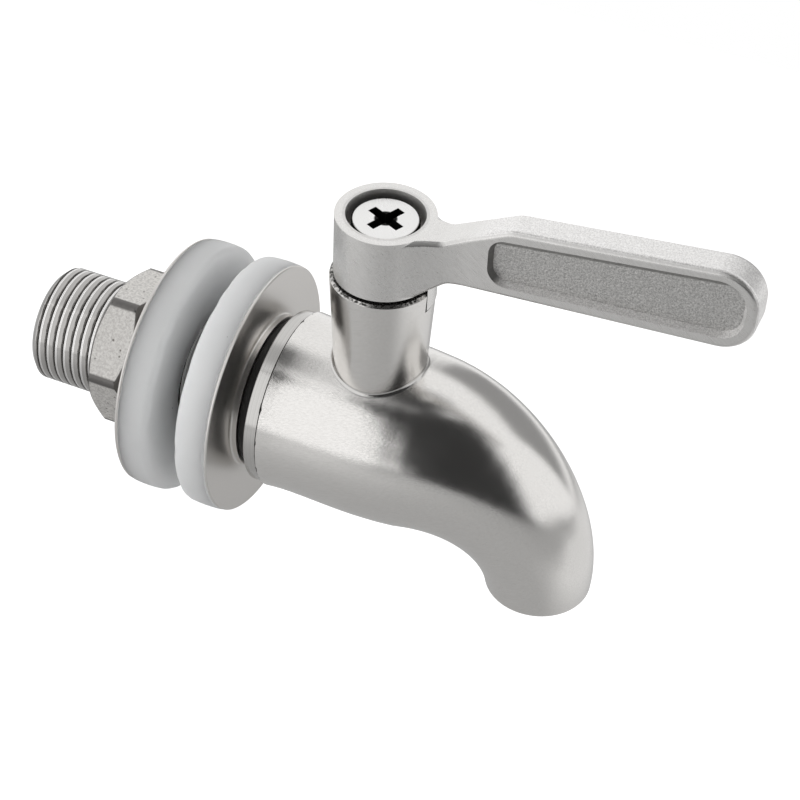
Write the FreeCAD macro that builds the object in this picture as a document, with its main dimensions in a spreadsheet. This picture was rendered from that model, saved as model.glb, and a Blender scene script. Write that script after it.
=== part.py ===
import FreeCAD, Part
import math
import os
import re
import Sketcher
from FreeCAD import Placement, Rotation, Vector

# Barrel tap, in millimetres.
# The origin is where the shank's axis meets the outer wall of the vessel:
# the back face of the front silicone washer. +X points forward, away from
# the vessel, +Z is up, and the tap is symmetric about the plane Y = 0
# except for the nut's angle, the lever's stop and the screw's recess.

SIZES = {
    # Shank and what it clamps
    "shank_back": (28.4, "length of shank behind the vessel wall's face"),
    "thread_r": (8.33, "outer radius of the pipe thread"),
    "thread_end": (0.8, "chamfer at the shank's open end"),
    "undercut_r": (7.6, "radius of the undercut behind the collar"),
    "collar_thick": (1.9, "thickness of the shank's collar"),
    "collar_inset": (0.3, "collar's rim in from the body's rear rim"),
    "collar_edge": (0.12, "chamfer of the collar's edges"),
    "gasket_thick": (1.75, "thickness of the black gasket"),
    "gasket_inset": (0.25, "gasket's rim in from the washer's lip"),
    "lip_inset": (1.45, "rim of the front steel washer's lip in from the collar's rim"),
    "lip_rise": (0.95, "height of the lip on the front steel washer"),
    "lip_root": (0.35, "fillet between the lip and its washer"),
    "gasket_round": (0.5, "rounding of the gasket's rim"),
    "washer_gap": (0.45, "radial gap of the washers on the thread"),
    "steel_r": (18.0, "outer radius of the steel washers"),
    "steel_thick": (0.4, "thickness of the steel washers"),
    "steel_edge": (0.12, "chamfer of the steel washers"),
    "soft_proud": (0.2, "silicone washers' rims out from the steel washers' rims"),
    "soft_thick": (4.6, "thickness of the silicone washers"),
    "soft_round": (0.9, "rounding of the silicone washers' rims"),
    "soft_bore_round": (0.3, "rounding of the silicone washers' bores"),
    "wall_gap": (4.15, "gap left between the two silicone washers"),
    "face_gap": (0.05, "gap between the nut and its washer"),
    "nut_flats": (20.0, "width of the nut across its flats"),
    "nut_thick": (11.1, "thickness of the nut"),
    "nut_angle": (48.4, "angle of the nut's first corner, in degrees"),
    "nut_turned_r": (11.3, "radius that the nut's corners are turned down to"),
    "nut_face_r": (8.9, "radius of the nut's end faces"),
    "nut_bevel": (3.4, "length of the bevel at each end of the nut"),
    # Body, its spout and its tower
    "flange_to_stem": (12.8, "rear face of the body to the stem's axis"),
    "bend_clear": (0.5, "tower's foot to the start of the bend"),
    "barrel_r": (12.75, "radius of the body at its rear"),
    "barrel_taper": (0.3, "how much thinner the body is where the spout bends"),
    "barrel_edge": (0.12, "chamfer of the body's rear edge"),
    "bend_r": (18.8, "radius of the spout's centre line"),
    "spout_upper_r": (10.8, "outer radius a third of the way round the bend"),
    "spout_lower_r": (8.85, "outer radius two thirds of the way round the bend"),
    "mouth_r": (7.5, "outer radius of the spout's mouth"),
    "tower_top": (27.3, "height of the tower's rim over the shank's axis"),
    "tower_r": (7.15, "radius of the tower at its rim"),
    "tower_foot_r": (6.1, "radius of the tower at the height of the ball's top"),
    "tower_rim": (0.35, "chamfer round the tower's rim"),
    "tower_root": (0.5, "fillet between the tower and the body"),
    # Ways through the body
    "water_r": (5.0, "radius of the waterway through the shank and the spout"),
    "outlet_r": (6.0, "radius of the bore in the spout's mouth"),
    "outlet_depth": (4.0, "length of the straight bore in the mouth"),
    "chamber_gap": (1.0, "gap between the ball and its chamber"),
    "socket_step": (0.9, "step from the chamber to the shank's socket"),
    "socket_depth": (4.0, "depth of that socket"),
    "thread_gap": (0.05, "radial gap in screwed and sliding fits"),
    "end_gap": (0.1, "gap at the blind ends of sockets"),
    "shank_ring_r": (0.55, "radius of the shank seal ring's section"),
    # Ball and seats
    "ball_r": (7.6, "radius of the ball"),
    "ball_bore_r": (4.2, "radius of the ball's bore"),
    "slot_depth": (2.3, "depth of the ball's slot under its top"),
    "seat_behind": (0.6, "ball's surface to the back face of a seat"),
    "seat_thick": (4.2, "length of a seat along the flow"),
    "seat_gap": (0.04, "running gap between the ball and its seats"),
    # Stem, its seals and its gland
    "tang_thick": (3.0, "thickness of the stem's tang"),
    "tang_wide": (6.6, "width of the stem's tang"),
    "tang_rise": (0.3, "height of the stem's shoulder over the ball"),
    "spindle_r": (4.0, "radius of the stem under its journal"),
    "ledge_z": (10.5, "height of the ledge that carries the stem"),
    "thrust_thick": (0.8, "thickness of the stem's thrust washer"),
    "tower_bore_r": (5.0, "radius of the bore in the tower"),
    "seal_low": (2.7, "journal's foot to the middle of its lower groove"),
    "seal_pitch": (4.2, "distance between the two seal grooves"),
    "ring_wire_r": (0.7, "radius of the stem seal rings' section"),
    "groove_gap": (0.15, "side gap of a seal ring in its groove"),
    "neck_r": (3.9, "radius of the stem above its journal"),
    "stem_flat": (3.2, "stem's axis to each driving flat"),
    "tap_depth": (9.0, "depth of the threaded hole in the stem"),
    "gland_long": (5.5, "length of the gland"),
    "gland_sink": (0.3, "gland's top face under the tower's rim"),
    "spanner_wide": (1.4, "width of the gland's spanner slots"),
    "spanner_deep": (1.2, "depth of the gland's spanner slots"),
    # Lever
    "hub_gap": (0.45, "gap between the tower's rim and the hub"),
    "hub_tall": (9.2, "height of the hub"),
    "hub_inset": (0.5, "hub's side in from the tower's rim"),
    "sink_gap": (0.75, "gap round the screw's head in the hub's counterbore"),
    "hub_sink_depth": (3.9, "depth of the hub's counterbore"),
    "clamp_gap": (0.2, "stem's top under the counterbore's floor"),
    "arm_thick": (4.5, "thickness of the lever's blade"),
    "arm_edge": (0.7, "rounding of the blade's edges"),
    "near_fillet": (13.0, "fillet between the hub and the blade's near side"),
    "far_fillet": (2.6, "fillet between the hub and the blade's far side"),
    "neck_foot": (0.45, "foot of the neck in from the hub's side and up from its face"),
    "neck_x": (9.6, "stem's axis to the end of the neck's underside"),
    "neck_rise": (2.75, "neck's underside over the hub's lower face"),
    "heel_x": (8.6, "stem's axis to where the blade's top edge rises"),
    "shoulder_x": (17.6, "stem's axis to the blade's upper shoulder"),
    "shoulder_rise": (4.6, "blade's upper shoulder over the hub's top"),
    "tip_x": (49.8, "stem's axis to the tip of the lever"),
    "tip_rise": (8.6, "tip's top edge over the hub's top"),
    "tip_drop": (5.95, "tip's lower edge over the hub's lower face"),
    "tip_corner": (5.0, "corner radius of the tip"),
    "shoulder_round": (4.0, "rounding of the upper shoulder"),
    "heel_round": (2.0, "rounding of the heel and the neck's underside"),
    "recess_rim": (1.5, "width of the rim at the tip's end of the recess"),
    "recess_rim_in": (2.0, "width of the rim above and below the recess beside the neck"),
    "recess_depth": (0.95, "depth of the recess in each side"),
    "recess_x": (15.0, "stem's axis to the start of the recess"),
    "recess_round": (2.4, "corner radius of the recess beside the neck"),
    "recess_draft": (25.0, "slope of the recess's walls in degrees"),
    # The lever's stop in the tower's rim
    "stop_depth": (3.1, "depth of the notch in the tower's rim"),
    "stop_start": (-14.0, "angle where the notch starts, in degrees"),
    "stop_wide": (32.0, "angle that the stop lug spans, in degrees"),
    "stop_play": (1.5, "angle between lug and notch at each end"),
    "stop_gap": (0.25, "gap between the lug and the notch's floor"),
    "stop_rise": (1.2, "height of the lug's ledge on the hub"),
    "quarter_turn": (90.0, "angle from closed to open, in degrees"),
    # Handle screw and its washer
    "screw_r": (2.5, "outer radius of the screw's thread"),
    "screw_long": (7.5, "length of the screw under the counterbore's floor"),
    "head_r": (4.5, "radius of the screw's head"),
    "head_thick": (2.2, "thickness of the screw's head"),
    "head_edge": (0.25, "chamfer of the screw's head"),
    "cross_reach": (2.7, "screw's axis to the end of a recess arm"),
    "cross_wide": (1.3, "width of a recess arm"),
    "cross_depth": (1.5, "depth of the cross recess"),
    "cross_angle": (-24.5, "angle of the cross recess, in degrees"),
    "cross_draft": (8.0, "slope of the cross recess's walls in degrees"),
    "spring_thick": (0.9, "thickness of the spring washer"),
    "spring_bore_gap": (0.2, "radial gap of the spring washer on the screw"),
    "spring_wide": (1.6, "width of the spring washer's section"),
    "spring_cut": (0.8, "gap between the spring washer's ends"),
    # Cuts
    "overcut": (1.0, "how far a cut starts outside the piece that it cuts"),
}

# Places that follow from the sizes, each in terms of sizes or earlier places.
PLACES = {
    "collar_x": "(soft_thick + steel_thick + lip_rise + gasket_thick)",
    "flange_x": "(collar_x + collar_thick)",
    "collar_r": "(barrel_r - collar_inset)",
    "lip_r": "(collar_r - lip_inset)",
    "gasket_r": "(lip_r - gasket_inset)",
    "soft_r": "(steel_r + soft_proud)",
    "stem_x": "(flange_x + flange_to_stem)",
    "barrel_front_r": "(barrel_r - barrel_taper)",
    "bend_x": "(stem_x + tower_foot_r + bend_clear)",
    "washer_bore_r": "(thread_r + washer_gap)",
    "rear_soft_x": "(-wall_gap)",
    "rear_steel_x": "(rear_soft_x - soft_thick)",
    "nut_x": "(rear_steel_x - steel_thick - face_gap)",
    "nut_corner_r": "(nut_flats / 2 / cos(30 deg))",
    "chamber_r": "(ball_r + chamber_gap)",
    "socket_r": "(chamber_r + socket_step)",
    "socket_end": "(flange_x + socket_depth)",
    "seal_pocket_r": "(socket_r + 2 * shank_ring_r + 2 * thread_gap)",
    "seat_back": "(ball_r + seat_behind)",
    "tang_top": "(ball_r + tang_rise)",
    "journal_foot": "(ledge_z + thrust_thick)",
    "groove_low": "(journal_foot + seal_low)",
    "groove_high": "(groove_low + seal_pitch)",
    "gland_top": "(tower_top - gland_sink)",
    "journal_top": "(gland_top - gland_long - thread_gap)",
    "journal_r": "(tower_bore_r - thread_gap)",
    "hub_r": "(tower_r - hub_inset)",
    "hub_sink_r": "(head_r + sink_gap)",
    "hub_low": "(tower_top + hub_gap)",
    "hub_top": "(hub_low + hub_tall)",
    "hub_floor": "(hub_top - hub_sink_depth)",
    "stem_top": "(hub_floor - clamp_gap)",
    "neck_z": "(hub_low + neck_rise)",
    "under_slope": "((tip_drop - neck_rise) / (tip_x - neck_x))",
    "upper_slope": "(shoulder_rise / (shoulder_x - heel_x))",
    "near_fillet_y": "(arm_thick / 2 + near_fillet)",
    "near_fillet_x": "sqrt((hub_r + near_fillet) ^ 2 - near_fillet_y ^ 2)",
    "far_fillet_y": "(arm_thick / 2 + far_fillet)",
    "far_fillet_x": "sqrt((hub_r + far_fillet) ^ 2 - far_fillet_y ^ 2)",
    "shoulder_z": "(hub_top + shoulder_rise)",
    "tip_high": "(hub_top + tip_rise)",
    "tip_low": "(hub_low + tip_drop)",
    "lug_low": "(tower_top - stop_depth + stop_gap)",
    "head_low": "(hub_floor + spring_thick)",
    "head_top": "(head_low + head_thick)",
    "spring_bore_r": "(screw_r + spring_bore_gap)",
}

# How far an edge may lie from the place where it is looked for.
NEAR = 0.01

doc = FreeCAD.newDocument("barrel_tap")
sheet = doc.addObject("Spreadsheet::Sheet", "Sizes")
for row, (name, (size, meaning)) in enumerate(SIZES.items(), start=1):
    sheet.set("A%d" % row, str(size))
    sheet.setAlias("A%d" % row, name)
    sheet.set("B%d" % row, meaning)
doc.recompute()

SIZE_NAMES = re.compile(r"\b(%s)\b" % "|".join(SIZES))
PLACE_NAMES = re.compile(r"\b(%s)\b" % "|".join(PLACES))


def spelled_out(text):
    """The expression with each place written out in sizes."""
    while PLACE_NAMES.search(text):
        text = PLACE_NAMES.sub(lambda found: PLACES[found.group(1)], text)
    return text


def tied(text):
    """The expression with each size's name led to the sheet."""
    return SIZE_NAMES.sub(r"Sizes.\1", spelled_out(text))


def number(text):
    """The value that the expression has now."""
    result = sheet.evalExpression(spelled_out(text))
    return float(getattr(result, "Value", result))


def new_body(name):
    """An empty body whose label is the sub-part's name."""
    body = doc.addObject("PartDesign::Body", name)
    body.Label = name
    return body


def new_sketch(body, name, role, shift=("0", "0", "0"), tilt="0"):
    """A sketch on a plane of the body's origin, moved and tilted in that plane's own axes."""
    sketch = body.newObject("Sketcher::SketchObject", name)
    plane = next(item for item in body.Origin.OriginFeatures if item.Role == role)
    sketch.AttachmentSupport = (plane, "")
    sketch.MapMode = "FlatFace"
    place = Vector(*[number(part) for part in shift])
    sketch.AttachmentOffset = Placement(place, Rotation(Vector(1, 0, 0), number(tilt)))
    for axis, part in zip("xyz", shift):
        if part != "0":
            sketch.setExpression("AttachmentOffset.Base.%s" % axis, tied(part))
    return sketch


def tie(sketch, kind, places, text, name):
    """Add a dimension to the sketch and tie it to the sheet."""
    index = sketch.addConstraint(Sketcher.Constraint(kind, *places, number(text)))
    sketch.renameConstraint(index, name)
    sketch.setExpression("Constraints.%s" % name, tied(text))


def tie_point(sketch, item, end, x_text, y_text, name):
    """Fix a point of the sketch at a place given by two expressions."""
    tie(sketch, "DistanceX", (-1, 1, item, end), x_text, name + "_x")
    tie(sketch, "DistanceY", (-1, 1, item, end), y_text, name + "_y")


def draw_outline(sketch, corners):
    """Draw a closed outline of straight sides, each corner tied to the sheet."""
    spots = [Vector(number(x), number(y), 0) for x, y in corners]
    count = len(spots)
    first = sketch.GeometryCount
    for index in range(count):
        sketch.addGeometry(Part.LineSegment(spots[index], spots[(index + 1) % count]), False)
    for index in range(count):
        following = first + (index + 1) % count
        sketch.addConstraint(Sketcher.Constraint("Coincident", first + index, 2, following, 1))
    for index, (x, y) in enumerate(corners):
        tie_point(sketch, first + index, 1, x, y, "corner%d" % (first + index))


def draw_arc(sketch, start, through, end):
    """Draw an arc, always anticlockwise, and say which of its ends are start and end."""
    turns_left = (through - start).cross(end - through).z > 0
    first, last = (start, end) if turns_left else (end, start)
    sketch.addGeometry(Part.Arc(first, through, last), False)
    return (1, 2) if turns_left else (2, 1)


def draw_round_outline(sketch, corners):
    """Draw a closed outline whose corners are rounded, each corner as (x, y, radius)."""
    spots = [Vector(number(x), number(y), 0) for x, y, _ in corners]
    radii = [number(radius) for _, _, radius in corners]
    count = len(spots)
    starts, ends, middles = [], [], []
    for index, (spot, radius) in enumerate(zip(spots, radii)):
        back = (spots[index - 1] - spot).normalize()
        ahead = (spots[(index + 1) % count] - spot).normalize()
        half = back.getAngle(ahead) / 2
        reach = radius / math.tan(half)
        starts.append(spot + back * reach)
        ends.append(spot + ahead * reach)
        bisector = (back + ahead).normalize()
        middles.append(spot + bisector * (radius / math.sin(half) - radius))
    for index, spot in enumerate(spots):
        sketch.addGeometry(Part.Point(spot), True)
        x, y, _ = corners[index]
        tie_point(sketch, index, 1, x, y, "corner%d" % index)
    for index in range(count):
        sketch.addGeometry(Part.LineSegment(ends[index], starts[(index + 1) % count]), False)
    arc_ends = [
        draw_arc(sketch, *spots_of_arc) for spots_of_arc in zip(starts, middles, ends)
    ]
    for index in range(count):
        side = count + index
        before = count + (index - 1) % count
        arc = 2 * count + index
        sketch.addConstraint(Sketcher.Constraint("PointOnObject", index, 1, side))
        sketch.addConstraint(Sketcher.Constraint("PointOnObject", (index + 1) % count, 1, side))
        near, far = arc_ends[index]
        sketch.addConstraint(Sketcher.Constraint("Tangent", before, 2, arc, near))
        sketch.addConstraint(Sketcher.Constraint("Tangent", side, 1, arc, far))
        tie(sketch, "Radius", (arc,), corners[index][2], "round%d" % index)


def draw_neck_cut(sketch, corners, radius):
    """Draw straight sides from the first corner to the last, closed by a hollow arc."""
    spots = [Vector(number(x), number(y), 0) for x, y in corners]
    for index in range(len(spots) - 1):
        sketch.addGeometry(Part.LineSegment(spots[index], spots[index + 1]), False)
    last = len(spots) - 1
    middle = Vector(spots[0].x, spots[0].y * (1 + number(radius) / abs(spots[0].y)), 0)
    chord = (spots[0] + spots[last]) / 2 - middle
    bulge = middle + chord.normalize() * number(radius)
    from_last, from_first = draw_arc(sketch, spots[last], bulge, spots[0])
    for index in range(last - 1):
        sketch.addConstraint(Sketcher.Constraint("Coincident", index, 2, index + 1, 1))
    sketch.addConstraint(Sketcher.Constraint("Coincident", last - 1, 2, last, from_last))
    sketch.addConstraint(Sketcher.Constraint("Coincident", 0, 1, last, from_first))
    for index in range(last):
        tie_point(sketch, index, 1, *corners[index], "corner%d" % index)
    tie_point(sketch, last - 1, 2, *corners[last], "corner%d" % last)
    tie(sketch, "Radius", (last,), radius, "round")


def draw_circle(sketch, x, y, radius):
    """Draw a circle tied to the sheet."""
    item = sketch.GeometryCount
    spot = Vector(number(x), number(y), 0)
    sketch.addGeometry(Part.Circle(spot, Vector(0, 0, 1), number(radius)), False)
    tie_point(sketch, item, 3, x, y, "centre%d" % item)
    tie(sketch, "Radius", (item,), radius, "radius%d" % item)


def draw_sector(sketch, inner, outer, first, last):
    """Draw a sector of a ring about the sketch's zero, between two angles in degrees."""
    radii = (inner, outer)
    angles = (first, last)
    low, high = [math.radians(number(angle)) for angle in angles]
    for radius in radii:
        circle = Part.Circle(Vector(0, 0, 0), Vector(0, 0, 1), number(radius))
        sketch.addGeometry(Part.ArcOfCircle(circle, low, high), False)
    inner_arc, outer_arc = sketch.Geometry[0], sketch.Geometry[1]
    sketch.addGeometry(Part.LineSegment(inner_arc.StartPoint, outer_arc.StartPoint), False)
    sketch.addGeometry(Part.LineSegment(inner_arc.EndPoint, outer_arc.EndPoint), False)
    for arc in (0, 1):
        sketch.addConstraint(Sketcher.Constraint("Coincident", arc, 3, -1, 1))
        tie(sketch, "Radius", (arc,), radii[arc], "radius%d" % arc)
    for side in (2, 3):
        sketch.addConstraint(Sketcher.Constraint("Coincident", side, 1, 0, side - 1))
        sketch.addConstraint(Sketcher.Constraint("Coincident", side, 2, 1, side - 1))
        for end, radius in ((1, inner), (2, outer)):
            height = "(%s) * sin((%s) * 1 deg)" % (radius, angles[side - 2])
            tie(sketch, "DistanceY", (-1, 1, side, end), height, "corner%d%d" % (side, end))


def draw_double_d(sketch, radius, flat):
    """Draw a circle about the sketch's zero with a flat on each side in y."""
    half = math.asin(number(flat) / number(radius))
    circle = Part.Circle(Vector(0, 0, 0), Vector(0, 0, 1), number(radius))
    sketch.addGeometry(Part.ArcOfCircle(circle, -half, half), False)
    sketch.addGeometry(Part.ArcOfCircle(circle, math.pi - half, math.pi + half), False)
    right, left = sketch.Geometry[0], sketch.Geometry[1]
    sketch.addGeometry(Part.LineSegment(right.EndPoint, left.StartPoint), False)
    sketch.addGeometry(Part.LineSegment(left.EndPoint, right.StartPoint), False)
    joints = ((0, 2, 2, 1), (2, 2, 1, 1), (1, 2, 3, 1), (3, 2, 0, 1))
    for joint in joints:
        sketch.addConstraint(Sketcher.Constraint("Coincident", *joint))
    for arc in (0, 1):
        sketch.addConstraint(Sketcher.Constraint("Coincident", arc, 3, -1, 1))
        tie(sketch, "Radius", (arc,), radius, "radius%d" % arc)
    for side, height in ((2, flat), (3, "-(%s)" % flat)):
        sketch.addConstraint(Sketcher.Constraint("Horizontal", side))
        tie(sketch, "DistanceY", (-1, 1, side, 1), height, "flat%d" % side)


def swung(x, y, angle):
    """A point of a sketch swung about its zero, as two expressions."""
    swung_x = "(%s) * cos(%s) - (%s) * sin(%s)" % (x, angle, y, angle)
    swung_y = "(%s) * sin(%s) + (%s) * cos(%s)" % (x, angle, y, angle)
    return swung_x, swung_y


def add_feature(body, kind, name, sketch):
    """A feature made from the sketch, which becomes the body's tip."""
    feature = body.newObject(kind, name)
    feature.Profile = sketch
    return feature


def pad(body, name, sketch, length, midplane=False, back=False):
    """Pad the sketch by a length tied to the sheet."""
    feature = add_feature(body, "PartDesign::Pad", name, sketch)
    feature.setExpression("Length", tied(length))
    feature.Midplane = midplane
    feature.Reversed = back
    return feature


def pocket(body, name, sketch, depth, midplane=False, back=False, draft=None):
    """Cut the sketch to a depth tied to the sheet, and see that it cuts."""
    doc.recompute()
    before = body.Shape.Volume
    feature = add_feature(body, "PartDesign::Pocket", name, sketch)
    feature.setExpression("Length", tied(depth))
    feature.Midplane = midplane
    feature.Reversed = back
    if draft:
        feature.setExpression("TaperAngle", tied(draft))
    doc.recompute()
    if body.Shape.Volume > before - NEAR:
        raise ValueError("%s cuts nothing" % name)
    return feature


def turn(body, name, sketch, about):
    """Revolve the sketch by a full turn about its H_Axis or V_Axis."""
    feature = add_feature(body, "PartDesign::Revolution", name, sketch)
    feature.ReferenceAxis = (sketch, [about])
    feature.Angle = 360
    return feature


def groove(body, name, sketch, about):
    """Turn the sketch away from the body, and see that it cuts."""
    doc.recompute()
    before = body.Shape.Volume
    feature = add_feature(body, "PartDesign::Groove", name, sketch)
    feature.ReferenceAxis = (sketch, [about])
    feature.Angle = 360
    doc.recompute()
    if body.Shape.Volume > before - NEAR:
        raise ValueError("%s cuts nothing" % name)
    return feature


def on_shank(body, name):
    """A sketch whose x runs along the shank's axis and whose y is the radius."""
    return new_sketch(body, name, "XZ_Plane")


def on_stem(body, name):
    """A sketch whose x is the radius about the stem's axis and whose y is the height."""
    return new_sketch(body, name, "XZ_Plane", ("stem_x", "0", "0"))


def level(body, name, height):
    """A level sketch at a height, with its zero on the stem's axis."""
    return new_sketch(body, name, "XY_Plane", ("stem_x", "0", height))


def shank_turning(name, corners):
    """A piece turned about the shank's axis from an outline of (x, radius)."""
    body = new_body(name)
    sketch = on_shank(body, name + "_outline")
    draw_outline(sketch, corners)
    turn(body, name + "_turning", sketch, "H_Axis")
    return body


def stem_turning(name, corners):
    """A piece turned about the stem's axis from an outline of (radius, height)."""
    body = new_body(name)
    sketch = on_stem(body, name + "_outline")
    draw_outline(sketch, corners)
    turn(body, name + "_turning", sketch, "V_Axis")
    return body


def round_edges(body, name, picked, radius, kind="PartDesign::Fillet", size="Radius"):
    """Fillet the edges of the body that the picked test accepts."""
    doc.recompute()
    base = body.Tip
    edges = [
        "Edge%d" % (index + 1)
        for index, edge in enumerate(base.Shape.Edges)
        if picked(edge)
    ]
    if not edges:
        raise ValueError("%s finds no edge" % name)
    feature = body.newObject(kind, name)
    feature.Base = (base, edges)
    feature.setExpression(size, tied(radius))
    doc.recompute()
    return feature


def chamfer_edges(body, name, picked, size):
    """Chamfer the edges of the body that the picked test accepts."""
    return round_edges(body, name, picked, size, "PartDesign::Chamfer", "Size")


# Body casting: barrel, bent spout and tower in one investment casting.
# The barrel and the spout are swept through rings on their centre line.

def draw_bend(sketch):
    """Draw the quarter turn that the spout's centre line makes, from its mouth upwards."""
    item = sketch.GeometryCount
    centre = Vector(number("bend_x"), -number("bend_r"), 0)
    circle = Part.Circle(centre, Vector(0, 0, 1), number("bend_r"))
    sketch.addGeometry(Part.ArcOfCircle(circle, 0, math.pi / 2), False)
    tie_point(sketch, item, 3, "bend_x", "-bend_r", "bend_centre")
    tie(sketch, "Radius", (item,), "bend_r", "bend_radius")
    tie(sketch, "DistanceY", (-1, 1, item, 1), "-bend_r", "mouth_height")
    tie(sketch, "DistanceX", (-1, 1, item, 2), "bend_x", "bend_start")


def ring_sketch(body, name, x, radius, turned="0"):
    """A ring across the centre line: x on the straight part, or turned round the bend."""
    height = "0"
    if turned != "0":
        x = "bend_x + bend_r * sin(%s)" % turned
        height = "-bend_r * (1 - cos(%s))" % turned
    sketch = new_sketch(body, name, "YZ_Plane", ("0", height, x), turned)
    draw_circle(sketch, "0", "0", radius)
    return sketch


def sweep(body, kind, name, spine, rings):
    """Sweep from ring to ring along every edge of the spine."""
    feature = add_feature(body, kind, name, rings[0])
    feature.Spine = (spine, ["Edge%d" % (index + 1) for index in range(spine.GeometryCount)])
    feature.Sections = rings[1:]
    feature.Transformation = "Multisection"
    doc.recompute()
    return feature


def make_body_casting():
    body = new_body("body_casting")
    centre_line = on_shank(body, "centre_line")
    start = Vector(number("flange_x"), 0, 0)
    centre_line.addGeometry(Part.LineSegment(start, Vector(number("bend_x"), 0, 0)), False)
    draw_bend(centre_line)
    tie_point(centre_line, 0, 1, "flange_x", "0", "rear")
    centre_line.addConstraint(Sketcher.Constraint("Coincident", 0, 2, 1, 2))
    sweep(body, "PartDesign::AdditivePipe", "spout_wall", centre_line, [
        ring_sketch(body, "rear_ring", "flange_x", "barrel_r"),
        ring_sketch(body, "barrel_ring", "(flange_x + bend_x) / 2", "barrel_r"),
        ring_sketch(body, "bend_ring", "bend_x", "barrel_front_r"),
        ring_sketch(body, "upper_ring", None, "spout_upper_r", "30 deg"),
        ring_sketch(body, "lower_ring", None, "spout_lower_r", "60 deg"),
        ring_sketch(body, "mouth_ring", None, "mouth_r", "90 deg"),
    ])

    tower = on_stem(body, "tower_outline")
    draw_outline(tower, [
        ("0", "ball_r"),
        ("tower_foot_r", "ball_r"),
        ("tower_r", "tower_top - tower_rim"),
        ("tower_r - tower_rim", "tower_top"),
        ("0", "tower_top"),
    ])
    turn(body, "tower", tower, "V_Axis")

    def at_tower_foot(edge):
        box = edge.BoundBox
        around = box.XMin > number("stem_x - tower_r") and box.XMax < number("stem_x + tower_r")
        above_ball = box.ZMin > number("ball_r") + NEAR
        return around and above_ball and box.ZMax < number("tower_top - tower_rim") - NEAR

    round_edges(body, "tower_root", at_tower_foot, "tower_root")

    def at_rear(edge):
        return edge.BoundBox.XMax < number("flange_x") + NEAR

    chamfer_edges(body, "rear_edge", at_rear, "barrel_edge")

    water_line = on_shank(body, "water_line")
    draw_bend(water_line)
    sweep(body, "PartDesign::SubtractivePipe", "waterway", water_line, [
        ring_sketch(body, "water_ring", "bend_x", "water_r"),
        ring_sketch(body, "outlet_ring", None, "outlet_r", "90 deg"),
    ])

    chamber = on_shank(body, "chamber_outline")
    draw_outline(chamber, [
        ("flange_x - overcut", "0"),
        ("flange_x - overcut", "seal_pocket_r"),
        ("flange_x + 2 * shank_ring_r + end_gap", "seal_pocket_r"),
        ("flange_x + 2 * shank_ring_r + end_gap", "socket_r"),
        ("socket_end", "socket_r"),
        ("socket_end", "chamber_r"),
        ("stem_x + seat_back", "chamber_r"),
        ("stem_x + seat_back", "0"),
    ])
    groove(body, "chamber", chamber, "H_Axis")

    outlet = new_sketch(body, "outlet_circle", "XY_Plane", ("bend_x + bend_r", "0", "-bend_r"))
    draw_circle(outlet, "0", "0", "outlet_r")
    pocket(body, "outlet_bore", outlet, "outlet_depth", back=True)

    stem_way = on_stem(body, "stem_way_outline")
    draw_outline(stem_way, [
        ("0", "0"),
        ("spindle_r + thread_gap", "0"),
        ("spindle_r + thread_gap", "ledge_z"),
        ("tower_bore_r", "ledge_z"),
        ("tower_bore_r", "tower_top + overcut"),
        ("0", "tower_top + overcut"),
    ])
    groove(body, "stem_way", stem_way, "V_Axis")

    notch = level(body, "stop_wedge", "tower_top")
    span = "(quarter_turn + stop_wide + 2 * stop_play)"
    reach = "2 * tower_r"
    draw_outline(notch, [
        ("0", "0"),
        (reach + " * cos(stop_start * 1 deg)", reach + " * sin(stop_start * 1 deg)"),
        (reach + " * cos((stop_start + %s / 2) * 1 deg)" % span,
         reach + " * sin((stop_start + %s / 2) * 1 deg)" % span),
        (reach + " * cos((stop_start + %s) * 1 deg)" % span,
         reach + " * sin((stop_start + %s) * 1 deg)" % span),
    ])
    pocket(body, "stop_notch", notch, "stop_depth")
    return body


# Shank: collar, screwed nipple and pipe thread turned from one bar, bored through.

def make_threaded_shank():
    return shank_turning("threaded_shank", [
        ("-shank_back", "water_r"),
        ("-shank_back", "thread_r - thread_end"),
        ("-shank_back + thread_end", "thread_r"),
        ("collar_x - gasket_thick", "thread_r"),
        ("collar_x - gasket_thick", "undercut_r"),
        ("collar_x", "undercut_r"),
        ("collar_x", "collar_r - collar_edge"),
        ("collar_x + collar_edge", "collar_r"),
        ("flange_x - collar_edge", "collar_r"),
        ("flange_x", "collar_r - collar_edge"),
        ("flange_x", "socket_r - thread_gap"),
        ("socket_end - end_gap", "socket_r - thread_gap"),
        ("socket_end - end_gap", "chamber_r - thread_gap"),
        ("stem_x - seat_back", "chamber_r - thread_gap"),
        ("stem_x - seat_back", "water_r"),
    ])


def ring_turning(name, corners):
    """A soft ring turned about the shank's axis, with each corner rounded."""
    body = new_body(name)
    sketch = on_shank(body, name + "_outline")
    draw_round_outline(sketch, corners)
    turn(body, name + "_turning", sketch, "H_Axis")
    return body


def wire_ring(name, make_sketch, x, y, radius, about):
    """A seal ring of round section."""
    body = new_body(name)
    sketch = make_sketch(body, name + "_section")
    draw_circle(sketch, x, y, radius)
    turn(body, name + "_turning", sketch, about)
    return body


def make_shank_seal_ring():
    return wire_ring("shank_seal_ring", on_shank, "flange_x + shank_ring_r",
                     "socket_r + shank_ring_r + thread_gap", "shank_ring_r", "H_Axis")


# Ball and seats: the ball floats between two seats, and the nose of the shank
# holds the rear seat.

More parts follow.
